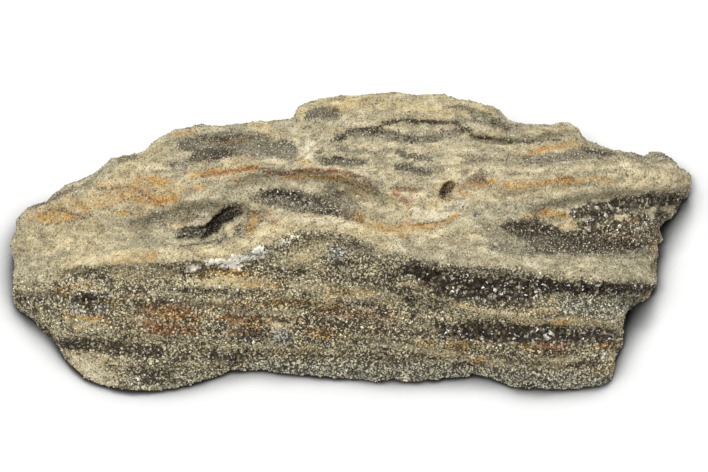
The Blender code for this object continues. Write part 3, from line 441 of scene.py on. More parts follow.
    (Tone.STONE, (1.4, 0.5, 70, 50.5, 88, 48.5, 106, 47.5), (1.2, 0.5, -122, 36.3, -108, 35.8),
     (1.6, 0.4, -1, 94.5, 16, 94, 35, 94.8), (3.5, 0.8, 49, 62, 54, 56, 63, 53)),
    (Tone.MILK, (2.8, 0.4, -18.4, 93, -16.6, 87), (1.6, 0.4, -22, 63, -12, 64, -2, 62)),
    (Tone.BRICK, (0.6, 0.85, 14.6, 73.5, 18.3, 70.7, 22.4, 70.5),
     (0.75, 0.9, -32.6, 81.5, -27.6, 80.5, -21.1, 81.4, -15.3, 81.7, -8.7, 81.4, -1.5, 80.9)),
    (Tone.OCHRE, (0.9, 0.8, 6.8, 62.4, 10.9, 60.6, 15, 59, 19.9, 60, 25.7, 61.4, 31.4, 62.4, 36.4, 64.5,
       38, 65.9), (0.9, 0.7, -111.2, 37.3, -105, 35.9)),
    (Tone.BROWN, (0.35, 0.7, 16.2, 61.6, 25.7, 62.3, 33.9, 63.1), (0.6, 0.9, 43, 85.3, 44.8, 85.1),
     (1.8, 0.7, 33.5, 75.6, 35.6, 72.3)),
    (Tone.MILK, (3, 0.7, -18, 93, -16, 88), (0.7, 0.8, -101.7, 39.5, -98.3, 39)),
    (Tone.RUST, (0.9, 0.75, 15.8, 58.3, 19.9, 56.5),
     (0.7, 0.85, -59.7, 79.6, -51.5, 80.6, -43.3, 82.1, -35.9, 82.6)),
    (Tone.ASH, (0.9, 0.8, 43.5, 65.6, 45.5, 65.2), (0.9, 0.8, 56, 64.4, 57.5, 63.6)),
    # Painted shade in the slot and on the pit's rim
    (Tone.VOID, (1.4, 1, -53.6, 61, -49.2, 63.6, -44.5, 66.2), (1, 0.9, 32.7, 73.9, 33.5, 71.5)),
    (Tone.CREAM, (3, 1, -46.9, 59.2, -45, 61.2), (0.8, 1, -43.3, 62.6, -42.7, 63.2)),
    (Tone.STONE, (1, 0.9, -40.6, 66.3, -40.2, 62, -41.5, 58.5), (3, 0.4, -72, 64, -60, 65.5, -52, 66.5)),
    (Tone.ASH, (2.2, 0.35, -32, 71, -22, 70, -13, 68)),
    (Tone.CREAM, (3, 0.35, -106, 56, -92, 57, -80, 57)),
    # Painted shade in the gap beside the slot's lump
    (Tone.VOID, (0.4, 1, -42.7, 58.6, -42.1, 61)),
)

# Painted highlights: places of single white crystals that stand in for glints, along and up the seen
# face, in millimetres
PAINTED_GLINT_SPOTS: Path = (
    (-77.4, 6.1), (-79.5, 3.6), (-23.5, 10), (-81.8, 32.6), (35.1, 42.2), (35.7, 37.6), (47.9, 37.8),
    (56.1, 35.1), (60.2, 34.7), (66, 35.5), (54.9, 26), (39.5, 26), (50, 21.9), (71.4, 21.9),
    (84.5, 22.5), (90.7, 14.1), (104.3, 36.5),
)
# Half the width and the length of the stroke that paints one of them, in millimetres
PAINTED_GLINT_REACH = 0.75
PAINTED_GLINT_LENGTH = 0.4


def all_marks() -> tuple[Mark, ...]:
    """Return every stroke in the order it is laid, the painted glints of single white crystals last."""
    laid = [Mark(tone, reach, strength, tuple(zip(path[::2], path[1::2])))
            for tone, *rows in STROKES for reach, strength, *path in rows]
    glints = [Mark(Tone.GLINT, PAINTED_GLINT_REACH, 1.0, (spot, (spot[0] + PAINTED_GLINT_LENGTH, spot[1])))
              for spot in PAINTED_GLINT_SPOTS]
    return (*laid, *glints)


def linear(shade: Colour) -> Array:
    """Turn an 8-bit colour into linear light.

    Args:
        shade: Red, green and blue from 0 to 255.

    Returns:
        Three numbers from 0 to 1.
    """
    value = np.asarray(shade, float) / 255.0
    return np.where(value <= 0.04045, value / 12.92, ((value + 0.055) / 1.055) ** 2.4)


def ease(low: float, high: float, value: Array) -> Array:
    """Rise smoothly from 0 at low to 1 at high.

    Args:
        low: Where the rise starts.
        high: Where it ends.
        value: The numbers to judge.

    Returns:
        Numbers from 0 to 1.
    """
    share = np.clip((value - low) / (high - low), 0.0, 1.0)
    return share * share * (3.0 - 2.0 * share)


def blend(low: Array, high: Array, share: Array) -> Array:
    """Mix two rows or two sets of rows.

    Args:
        low: What share 0 gives.
        high: What share 1 gives.
        share: One number for each row.

    Returns:
        The mixed rows.
    """
    return low + (high - low) * share[:, None]


def cell_value(cell: Array, seed: int) -> Array:
    """Give every whole-number cell its own steady number from 0 to 1.

    Args:
        cell: Whole numbers, three to a row.
        seed: Which set of numbers.

    Returns:
        One number for each row.
    """
    # Large odd numbers, of which any would do, scatter the cells
    key = cell.astype(np.int64) @ np.array([73856093, 19349663, 83492791]) + seed * 26544357
    key = key & 0xFFFFFFFF
    key = ((key ^ (key >> 16)) * 73244475) & 0xFFFFFFFF
    key = ((key ^ (key >> 15)) * 40503551) & 0xFFFFFFFF
    return ((key ^ (key >> 16)) & 0xFFFFFF) / 0xFFFFFF


def noise(place: Array, size: float | Triple, seed: int) -> Array:
    """Read smooth noise.

    Args:
        place: Points in millimetres.
        size: Size of a lump in millimetres, one number or one for each axis.
        seed: Which noise.

    Returns:
        Numbers from -1 to 1.
    """
    scaled = place / np.asarray(size)
    cell = np.floor(scaled)
    part = scaled - cell
    part = part * part * (3.0 - 2.0 * part)
    total = np.zeros(len(place))
    for corner in np.ndindex(2, 2, 2):
        side = np.array(corner)
        weight = np.prod(np.where(side, part, 1.0 - part), axis=1)
        total += weight * cell_value(cell + side, seed)
    return total * 2.0 - 1.0


def rough_noise(place: Array, size: float | Triple, seed: int) -> Array:
    """Read noise with two finer layers on it.

    Args:
        place: Points in millimetres.
        size: Size of the largest lump in millimetres.
        seed: Which noise.

    Returns:
        Numbers from about -1 to 1.
    """
    sizes = np.asarray(size, float)
    finer, weaker, whole = 2.1, 1.8, 1.5
    layers = [noise(place, sizes / finer ** step, seed + step) / weaker ** step
              for step in range(3)]
    return sum(layers) / whole


def knobs(place: Array, size: float, seed: int) -> Array:
    """Read rounded knobs packed side by side.

    Args:
        place: Points in millimetres.
        size: Spacing of the knobs in millimetres.
        seed: Which set.

    Returns:
        1 on the middle of a knob, down to 0 in the creases.
    """
    scaled = place / size
    cell = np.floor(scaled)
    nearest = np.full(len(place), 9.0)
    for corner in np.ndindex(3, 3, 3):
        there = cell + np.array(corner) - 1
        centre = there + np.stack([cell_value(there, seed + axis) for axis in range(3)], axis=1)
        nearest = np.minimum(nearest, np.linalg.norm(scaled - centre, axis=1))
    return 1.0 - np.clip(nearest, 0.0, 1.0)


def to_stroke(along: Array, up: Array, path: Path) -> tuple[Array, Array]:
    """Measure how far points lie from a stroke.

    Args:
        along: Places along the stone in millimetres.
        up: Places up the seen face in millimetres.
        path: The stroke's own points.

    Returns:
        The distances, and how far along the stroke each nearest place is, from 0 to 1.
    """
    point = np.stack([along, up], axis=1)
    ends = np.array(path)
    lengths = np.linalg.norm(np.diff(ends, axis=0), axis=1)
    starts = np.concatenate([[0.0], np.cumsum(lengths)])
    best = np.full(len(point), 1e9)
    where = np.zeros(len(point))
    for number, length in enumerate(lengths):
        step = ends[number + 1] - ends[number]
        share = np.clip((point - ends[number]) @ step / length ** 2, 0.0, 1.0)
        gap = np.linalg.norm(point - ends[number] - share[:, None] * step, axis=1)
        closer = gap < best
        best = np.where(closer, gap, best)
        where = np.where(closer, (starts[number] + share * length) / starts[-1], where)
    return best, where


@dataclass(frozen=True)
class Scatter:
    """Patches or thin veins of one deposit, placed by noise.

    Args:
        tone: The deposit.
        share: Its share at most, from 0 to 1.
        low: The noise at which it starts.
        high: The noise at which it is full.
        size: Length, depth and height of a patch in millimetres.
        seed: Which noise.
        thin: Whether it runs in lines, where the noise is near 0.
    """

    tone: Tone
    share: float
    low: float
    high: float
    size: Triple
    seed: int
    thin: bool = False

    def over(self, place: Array) -> Array:
        """Return how fully it covers each point, from 0 to 1, before its share."""
        value = rough_noise(place, self.size, self.seed)
        return ease(self.low, self.high, np.abs(value) if self.thin else value)


# Sizes of what is drawn out along the grain
BAND = (34.0, 5.0, 2.6)
LINE = (26.0, 3.2, 1.5)
SPECK = (3.6, 1.3, 1.3)
VEIN = (7.0, 2.0, 2.0)
VEIN_SEED = 24
BANDS = (
    Scatter(Tone.OCHRE, 0.36, 0.28, 0.7, BAND, 14),
    Scatter(Tone.SAND, 0.5, 0.2, 0.7, BAND, 15),
    Scatter(Tone.SLATE, 0.4, 0.25, 0.75, BAND, 16),
)
BACK_BANDS = (
    Scatter(Tone.GLOOM, 0.75, 0.15, 0.6, BAND, 17),
    Scatter(Tone.RUST, 0.7, 0.45, 0.75, BAND, 18),
)
DRUSY_LINES = (
    Scatter(Tone.GLOOM, 0.7, 0.12, 0.5, LINE, 19),
    Scatter(Tone.TAN, 0.35, -0.2, -0.7, LINE, 19),
)
SANDY_PATCHES = (
    Scatter(Tone.CREAM, 0.45, 0.2, 0.7, (9.0, 4.0, 3.0), 28),
    Scatter(Tone.STONE, 0.75, 0.15, 0.5, (14.0, 1.8, 1.5), 29),
)
SANDY_SPECKS = (
    Scatter(Tone.STONE, 0.75, 0.1, 0.35, SPECK, 30),
    Scatter(Tone.MILK, 0.5, -0.15, -0.4, SPECK, 30),
    Scatter(Tone.CRACK, 0.65, 0.07, 0.01, (12.0, 2.2, 1.8), 32, thin=True),
)
IRON_VEINS = (
    Scatter(Tone.CREAM, 0.7, 0.1, 0.5, (5.0, 2.4, 2.4), 26),
    Scatter(Tone.RUST, 0.75, 0.12, 0.03, VEIN, VEIN_SEED, thin=True),
    Scatter(Tone.BROWN, 0.7, 0.09, 0.0, (7.0, 1.8, 1.8), 25, thin=True),
)


@dataclass(frozen=True)
class Spots:
    """Points of the stone as a stroke meets them.

    Args:
        along: Places along the stone in millimetres, strayed a little.
        up: Places up the seen face in millimetres, strayed a little.
        shown: How fully each lies on the seen side, from 0 to 1.
        patchy: What frays and wears a stroke, from 0 to 1.
        veins: Where iron keeps to its veins, from 0 to 1.
    """

    along: Array
    up: Array
    shown: Array
    patchy: Array
    veins: Array

    def near(self, mark: Mark) -> Array:
        """Return which points a stroke may reach."""
        ends = np.array(mark.path)
        low = ends.min(axis=0) - 2.0 * mark.reach - 1.0
        high = ends.max(axis=0) + 2.0 * mark.reach + 1.0
        beside = (self.along > low[0]) & (self.along < high[0])
        return beside & (self.up > low[1]) & (self.up < high[1]) & (self.shown > 0.0)

    def keep(self, chosen: Array) -> "Spots":
        """Return only the chosen points."""
        return Spots(self.along[chosen], self.up[chosen], self.shown[chosen],
                     self.patchy[chosen], self.veins[chosen])


@dataclass
class Cover:
    """Says what covers the stone at any point.

    Args:
        marks: The strokes, in the order they are laid.
        ragged: How far the edge of a stroke strays, in millimetres.
        taper: How much narrower a stroke is at its ends.
        edge: Where a stroke starts and stops to fade, as a share of its reach.
        frayed: How far patches move that edge.
        worn: How much of a broad stroke wears away.
        wear: The patches in which it is worn and in which it is whole.
        broad: Reach of a stain that breaks up most, in millimetres.
        broken: How much of a stain between its veins is gone at most.
        chalky: The patches in which chalk ends and in which it is whole.
        finer: How much smaller the crystals of the top are.
        clotted: How much of the druse's clots is gloom, and how much darker they are.
    """

    marks: tuple[Mark, ...] = all_marks()
    ragged: float = 0.9
    taper: float = 0.35
    edge: Pair = (0.7, 1.2)
    frayed: float = 0.7
    worn: float = 0.28
    wear: Pair = (0.6, 0.2)
    broad: float = 3.0
    broken: float = 0.65
    chalky: Pair = (0.22, 0.34)
    finer: float = 0.28
    clotted: Pair = (0.8, 0.25)

    def seen(self, place: Array) -> tuple[Array, Array]:
        """Return along and up the seen face for points in the frame, in millimetres."""
        up = (place[:, 1] + FOOT_Y) * math.sin(VIEW_ELEVATION)
        up = up + (place[:, 2] + SEAT_Z) * math.cos(VIEW_ELEVATION)
        return place[:, 0] - MIDDLE_X, up

    def facing(self, normal: Array) -> Array:
        """Return how squarely each direction faces the seen side, from -1 to 1."""
        eye = np.array([0.0, -math.cos(VIEW_ELEVATION), math.sin(VIEW_ELEVATION)])
        return normal @ eye

    def above_crest(self, along: Array, up: Array) -> Array:
        """Return how far above the long crest each place lies, in millimetres."""
        return up - np.interp(along, CREST_X, CREST_SEEN)

    def lay(self, rows: Array, tone: Tone, share: Array) -> None:
        """Lay one deposit over the rows, in place.

        Args:
            rows: Rows as a deposit gives them.
            tone: The deposit.
            share: How much of it, one number for each row.
        """
        rows += (tone.value.row() - rows) * share[:, None]

    def scatter(self, rows: Array, place: Array, beds: tuple[Scatter, ...],
                where: Array | float = 1.0) -> None:
        """Lay scattered deposits over the rows, in place.

        Args:
            rows: Rows as a deposit gives them.
            place: Points in millimetres.
            beds: The deposits, in order.
            where: How far they may show, from 0 to 1.
        """
        for bed in beds:
            self.lay(rows, bed.tone, bed.share * where * bed.over(place))

    def ground(self, place: Array, normal: Array) -> Array:
        """Lay the plain ground: sand on what faces up, druse on what is steep.

        Args:
            place: Points in millimetres.
            normal: Outward directions there.

        Returns:
            Rows as a deposit gives them.
        """
        along, up = self.seen(place)
        crest = np.interp(along, CREST_X, CREST_SEEN)
        below = ease(1.0, 5.5, crest - up + 1.5 * noise(place, 5.0, 11))
        steep = ease(0.25, 0.75, 1.0 - normal[:, 2] + 0.18 * rough_noise(place, 7.0, 12))
        hidden = ease(-0.15, 0.2, -self.facing(normal))
        druse = np.maximum(below, 0.55 * steep)
        druse = druse * (1.0 - hidden) + hidden * ease(0.2, 0.9, steep + 0.3 * noise(place, 18.0, 13))
        rows = blend(TOP_GROUND.row(), FACE_GROUND.row(), druse)
        self.scatter(rows, place, BANDS)
        self.scatter(rows, place, BACK_BANDS, hidden)
        self.scatter(rows, place, DRUSY_LINES, druse)
        self.scatter(rows, place, SANDY_PATCHES, 1.0 - rows[:, DRUSE])
        return rows

    def spots(self, place: Array, normal: Array) -> Spots:
        """Read the points as strokes meet them.

        Args:
            place: Points in millimetres.
            normal: Outward directions there.

        Returns:
            The points, strayed so that no stroke has a clean edge.
        """
        along, up = self.seen(place)
        return Spots(
            along=along + self.ragged * 1.6 * rough_noise(place, 4.0, 21),
            up=up + self.ragged * 0.8 * rough_noise(place, 2.6, 22),
            shown=ease(-0.05, 0.25, self.facing(normal)),
            patchy=0.5 + 0.5 * rough_noise(place, (3.2, 1.6, 1.6), 23),
            veins=ease(0.36, 0.16, np.abs(rough_noise(place, VEIN, VEIN_SEED))),
        )

    def stroke(self, mark: Mark, rows: Array, iron: Array, spots: Spots) -> None:
        """Lay one stroke and note its iron, both in place.

        Args:
            mark: The stroke.
            rows: Rows as a deposit gives them.
            iron: How stained each point is, from 0 to 1.
            spots: The same points as strokes meet them.
        """
        near = spots.near(mark)
        if not near.any():
            return
        spots, part = spots.keep(near), rows[near]
        gap, where = to_stroke(spots.along, spots.up, mark.path)
        reach = mark.reach * (1.0 - self.taper * np.abs(2.0 * where - 1.0) ** 3)
        share = 1.0 - ease(*self.edge, gap / reach + self.frayed * (spots.patchy - 0.5))
        share *= mark.strength * spots.shown
        if mark.tone not in UNWORN:
            share *= 1.0 - self.worn * min(mark.reach, 1.0) * ease(*self.wear, spots.patchy)
        stained = np.zeros(len(share))
        held = part[:, DRUSE:].copy()
        if mark.tone in STAINS:
            stained = share.copy()
            sandy = 1.0 - part[:, DRUSE]
            share *= 1.0 - min(mark.reach / self.broad, self.broken) * sandy * (1.0 - spots.veins)
        if mark.tone is Tone.CHALK:
            share *= ease(*self.chalky, spots.patchy)
        self.lay(part, mark.tone, share)
        if mark.tone in STAINS:
            part[:, DRUSE:] = held
        rows[near] = part
        iron[near] = np.maximum(iron[near] * (1.0 - share), stained)

    def at(self, place: Array, normal: Array) -> Array:
        """Read the cover with all its marks.

        Args:
            place: Points in millimetres.
            normal: Outward directions there.

        Returns:
            Rows as a deposit gives them, and with them how iron-stained each point is.
        """
        rows = self.ground(place, normal)
        spots = self.spots(place, normal)
        iron = np.zeros(len(place))
        for mark in self.marks:
            self.stroke(mark, rows, iron, spots)
        clear = (1.0 - rows[:, DRUSE]) * (1.0 - 0.7 * iron) * np.clip(1.1 - rows[:, DARK], 0.0, 1.0)
        self.scatter(rows, place, SANDY_SPECKS, clear)
        top = ease(-4.0, 0.0, self.above_crest(spots.along, spots.up))
        rows[:, SIZE] *= 1.0 - self.finer * top * (1.0 - rows[:, SPARKLE])
        clots = rough_noise(place, (5.5, 2.6, 2.6), 27) * rows[:, DRUSE]
        gloom, darker = self.clotted
        self.lay(rows, Tone.GLOOM, gloom * ease(0.1, 0.5, clots))
        rows[:, DARK] = np.clip(rows[:, DARK] + darker * clots, 0.0, 1.0)
        self.scatter(rows, place, IRON_VEINS, iron * (1.0 - rows[:, DRUSE]))
        return np.column_stack([rows, iron])


def read_points(mesh: bpy.types.Mesh, field_name: str = "co") -> Array:
    """Read one vector for each vertex.

    Args:
        mesh: The mesh.
        field_name: "co" for places, "normal" for directions.

    Returns:
        Rows of three numbers, places in metres.
    """
    flat = np.empty(len(mesh.vertices) * 3, np.float32)
    mesh.vertices.foreach_get(field_name, flat)
    return flat.reshape(-1, 3).astype(float)


def read_triangles(mesh: bpy.types.Mesh) -> Array:
    """Return the vertex numbers of every triangle of the mesh."""
    mesh.calc_loop_triangles()
    flat = np.empty(len(mesh.loop_triangles) * 3, np.int32)
    mesh.loop_triangles.foreach_get("vertices", flat)
    return flat.reshape(-1, 3)


def corner_points(mesh: bpy.types.Mesh) -> Array:
    """Return the vertex number of every face corner of the mesh."""
    corner = np.empty(len(mesh.loops), np.int32)
    mesh.loops.foreach_get("vertex_index", corner)
    return corner


def store_colour(mesh: bpy.types.Mesh, colour: Array, domain: str) -> None:
    """Store the paint on a mesh.

    Args:
        mesh: The mesh.
        colour: Rows of linear red, green and blue.
        domain: "POINT" or "CORNER".
    """
    layer = mesh.color_attributes.new(name=PAINT, type="FLOAT_COLOR", domain=domain)
    whole = np.ones((len(colour), 4), np.float32)
    whole[:, :3] = colour
    layer.data.foreach_set("color", whole.ravel())


def store_number(mesh: bpy.types.Mesh, name: str, value: Array) -> None:
    """Store one number for each vertex under a name."""
    layer = mesh.attributes.new(name=name, type="FLOAT", domain="POINT")
    layer.data.foreach_set("value", value.astype(np.float32))


def store_map(mesh: bpy.types.Mesh, place: Array) -> None:
    """Store the flat map of the face corners, kept inside the unit square."""
    layer = mesh.uv_layers.new(name=BAKE_MAP)
    layer.uv.foreach_set("vector", np.clip(place, 0.0, 1.0).astype(np.float32).ravel())


def deselect() -> None:
    """Select nothing."""
    for other in bpy.context.view_layer.objects:
        other.select_set(False)


def solo(piece: bpy.types.Object) -> None:
    """Select one object alone and make it the active one."""
    deselect()
    piece.select_set(True)
    bpy.context.view_layer.objects.active = piece


def place_new(name: str, data: bpy.types.ID) -> bpy.types.Object:
    """Put a new object with this mesh, lamp or lens into the scene and return it."""
    thing = bpy.data.objects.new(name, data)
    bpy.context.scene.collection.objects.link(thing)
    return thing


def register(piece: bpy.types.Object, material: bpy.types.Material) -> None:
    """Give a piece its finish and its body.

    Args:
        piece: The finished object.
        material: Its finish.
    """
    piece.data.materials.clear()
    piece.data.materials.append(material)
    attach(piece, BODY)
    LOG.info("%s: %d faces", piece.name, len(piece.data.polygons))


@dataclass(frozen=True)
class Nodes:
    """A short hand for wiring one material's nodes.

    Args:
        material: The material, with its nodes on.
    """

    material: bpy.types.Material

    @classmethod
    def fresh(cls, name: str) -> "Nodes":
        """Start a new material with a Principled shader."""
        material = bpy.data.materials.new(name)
        material.use_nodes = True
        return cls(material)

    @property
    def shader(self) -> bpy.types.Node:
        """The material's Principled shader."""
        return self.material.node_tree.nodes["Principled BSDF"]

    def add(self, kind: str, **settings: object) -> bpy.types.Node:
        """Add a node and set its own settings by name."""
        node = self.material.node_tree.nodes.new(kind)
        for name, value in settings.items():
            setattr(node, name, value)
        return node

    def link(self, start: bpy.types.NodeSocket, end: bpy.types.NodeSocket) -> None:
        """Join an output to an input."""
        self.material.node_tree.links.new(start, end)

    def spots(self, scale: float, stretch: Triple = (1.0, 1.0, 1.0), detail: float = 3.0,
              roughness: float = 0.6) -> bpy.types.NodeSocket:
        """Add noise on the stone's own coordinates.

        Args:
            scale: Lumps to a metre.
            stretch: Scale along each axis, smaller for longer lumps.
            detail: Layers of finer noise.
            roughness: Weight of the finer layers.

        Returns:
            The output from 0 to 1.
        """
        place = self.add("ShaderNodeTexCoord")
        turn = self.add("ShaderNodeMapping")
        turn.inputs["Scale"].default_value = stretch
        texture = self.add("ShaderNodeTexNoise")
        texture.inputs["Scale"].default_value = scale
        texture.inputs["Detail"].default_value = detail
        texture.inputs["Roughness"].default_value = roughness
        self.link(place.outputs["Object"], turn.inputs["Vector"])
        self.link(turn.outputs["Vector"], texture.inputs["Vector"])
        return texture.outputs["Fac"]

    def span(self, source: bpy.types.NodeSocket, start: Pair, end: Pair,
             curve: str = "LINEAR") -> bpy.types.NodeSocket:
        """Bring a number from one range into another, clamped.

        Args:
            source: The number.
            start: Its own low and high.
            end: What they become.
            curve: "LINEAR" or "SMOOTHSTEP".

        Returns:
            The output.
        """
        node = self.add("ShaderNodeMapRange", clamp=True, interpolation_type=curve)
        for name, value in zip(("From Min", "From Max", "To Min", "To Max"), (*start, *end)):
            node.inputs[name].default_value = value
        self.link(source, node.inputs["Value"])
        return node.outputs["Result"]

    def clouded(self, colour: bpy.types.NodeSocket, cloud: bpy.types.NodeSocket, low: Colour,
                high: Colour) -> bpy.types.NodeSocket:
        """Darken and brighten a colour in soft clouds.

        Args:
            colour: The colour.
            cloud: Noise from 0 to 1.
            low: What the darkest cloud multiplies it by.
            high: What the brightest cloud multiplies it by.

        Returns:
            The clouded colour.
        """
        shade = self.add("ShaderNodeValToRGB")
        for element, value in zip(shade.color_ramp.elements, (low, high)):
            element.color = (*value, 1.0)
        self.link(self.span(cloud, (0.3, 0.7), (0.0, 1.0)), shade.inputs["Fac"])
        return self.mix("MULTIPLY", 1.0, colour, shade.outputs["Color"])

    def mix(self, kind: str, factor: bpy.types.NodeSocket | float,
            first: bpy.types.NodeSocket, second: bpy.types.NodeSocket | Colour
            ) -> bpy.types.NodeSocket:
        """Mix two colours.

        Args:
            kind: "MIX", "MULTIPLY" and so on.
            factor: How much of the second.
            first: The lower colour.
            second: The upper colour, a socket or an 8-bit shade.

        Returns:
            The mixed colour.
        """
        node = self.add("ShaderNodeMix", data_type="RGBA", blend_type=kind)
        if isinstance(factor, float):
            node.inputs["Factor"].default_value = factor
        else:
            self.link(factor, node.inputs["Factor"])
        self.link(first, node.inputs["A"])
        if isinstance(second, tuple):
            node.inputs["B"].default_value = (*linear(second), 1.0)
        else:
            self.link(second, node.inputs["B"])
        return node.outputs["Result"]

    def attribute(self, name: str) -> bpy.types.Node:
        """Add a node that reads an attribute of the mesh."""
        return self.add("ShaderNodeAttribute", attribute_name=name)

    def bump(self, height: bpy.types.NodeSocket, depth: float,
             before: bpy.types.NodeSocket | None = None) -> bpy.types.NodeSocket:
        """Raise fine relief.

        Args:
            height: The relief from 0 to 1.
            depth: What 1 stands for, in metres.
            before: The output of an earlier bump, if any.

        Returns:
            The bent normal.
        """
        node = self.add("ShaderNodeBump")
        node.inputs["Strength"].default_value = 1.0
        node.inputs["Distance"].default_value = depth
        self.link(height, node.inputs["Height"])
        if before is not None:
            self.link(before, node.inputs["Normal"])
        return node.outputs["Normal"]


@dataclass(frozen=True)
class SkinFinish:
    """Sandy stone: fine grain, streaks along the wood, dark specks.

    Args:
        speck: Shade of the dark specks.
        streak: Shade of the thin warm streaks.
        pale: Shade of the pale grains.
        gap: Colour of the painted shade between the roots of coarse crystals, laid where the druse is
            thick.
        grain: Grains to a metre.
        cloud: Clouds to a metre.
        fibre: Fibres to a metre, across the wood.
        drawn: Scale of the fibres along each axis, smallest along the wood.
        grain_depth: Relief of the grain in metres.
        fibre_depth: Relief of the fibres in metres.
        gloss: Lowest and highest roughness.
        shine: Specular level.
    """

    speck: Colour = (84, 72, 54)
    streak: Colour = (182, 134, 72)
    pale: Colour = (232, 222, 190)
    gap: Colour = (24, 20, 16)
    grain: float = 1500.0
    cloud: float = 170.0
    fibre: float = 620.0
    drawn: Triple = (0.09, 1.0, 1.0)
    grain_depth: float = 0.10 * MM
    fibre_depth: float = 0.16 * MM
    gloss: Pair = (0.72, 0.92)
    shine: float = 0.3

    def material(self) -> bpy.types.Material:
        """Build the material."""
        nodes = Nodes.fresh("stone_skin")
        paint = nodes.attribute(PAINT).outputs["Color"]
        druse = nodes.attribute(ROUGH).outputs["Fac"]
        grain = nodes.spots(self.grain, detail=2.0, roughness=0.7)
        cloud = nodes.spots(self.cloud, detail=4.0)
        fibre = nodes.spots(self.fibre, stretch=self.drawn, detail=4.0, roughness=0.7)
        colour = nodes.mix("MIX", nodes.span(grain, (0.54, 0.66), (0.0, 0.5)), paint, self.pale)
        colour = nodes.mix("MIX", nodes.span(grain, (0.44, 0.34), (0.0, 0.75)), colour, self.speck)
        colour = nodes.mix("MIX", nodes.span(fibre, (0.58, 0.72), (0.0, 0.45)), colour, self.streak)
        colour = nodes.clouded(colour, cloud, (0.72, 0.7, 0.66), (1.16, 1.15, 1.12))
        # Painted shade: the skin darkens towards the gap colour where coarse crystals root, standing in
        # for the shade between them
        colour = nodes.mix("MIX", nodes.span(druse, (0.3, 0.85), (0.0, 0.85)), colour, self.gap)
        nodes.link(colour, nodes.shader.inputs["Base Color"])
        nodes.link(nodes.span(cloud, (0.3, 0.7), self.gloss), nodes.shader.inputs["Roughness"])
        fine = nodes.bump(grain, self.grain_depth)
        nodes.link(nodes.bump(fibre, self.fibre_depth, fine), nodes.shader.inputs["Normal"])
        nodes.shader.inputs["Specular IOR Level"].default_value = self.shine
        return nodes.material


@dataclass(frozen=True)
class CrystalFinish:
    """Small quartz: painted crystal by crystal, glassy, a little clouded.

    Args:
        name: Name of the material.
        gloss: Lowest and highest roughness.
        shine: Specular level.
        cloud: Clouds to a metre.
        depth: Relief of the clouds in metres.
        bend: Index of refraction.
    """

    name: str
    gloss: Pair
    shine: float
    cloud: float = 900.0
    depth: float = 0.05 * MM
    bend: float = 1.54

    def material(self) -> bpy.types.Material:
        """Build the material."""
        nodes = Nodes.fresh(self.name)
        paint = nodes.attribute(PAINT).outputs["Color"]
        cloud = nodes.spots(self.cloud)
        colour = nodes.clouded(paint, cloud, (0.7, 0.7, 0.7), (1.25, 1.24, 1.2))
        nodes.link(colour, nodes.shader.inputs["Base Color"])
        nodes.link(nodes.span(cloud, (0.35, 0.65), self.gloss), nodes.shader.inputs["Roughness"])
        nodes.link(nodes.bump(cloud, self.depth), nodes.shader.inputs["Normal"])
        nodes.shader.inputs["IOR"].default_value = self.bend
        nodes.shader.inputs["Specular IOR Level"].default_value = self.shine
        return nodes.material


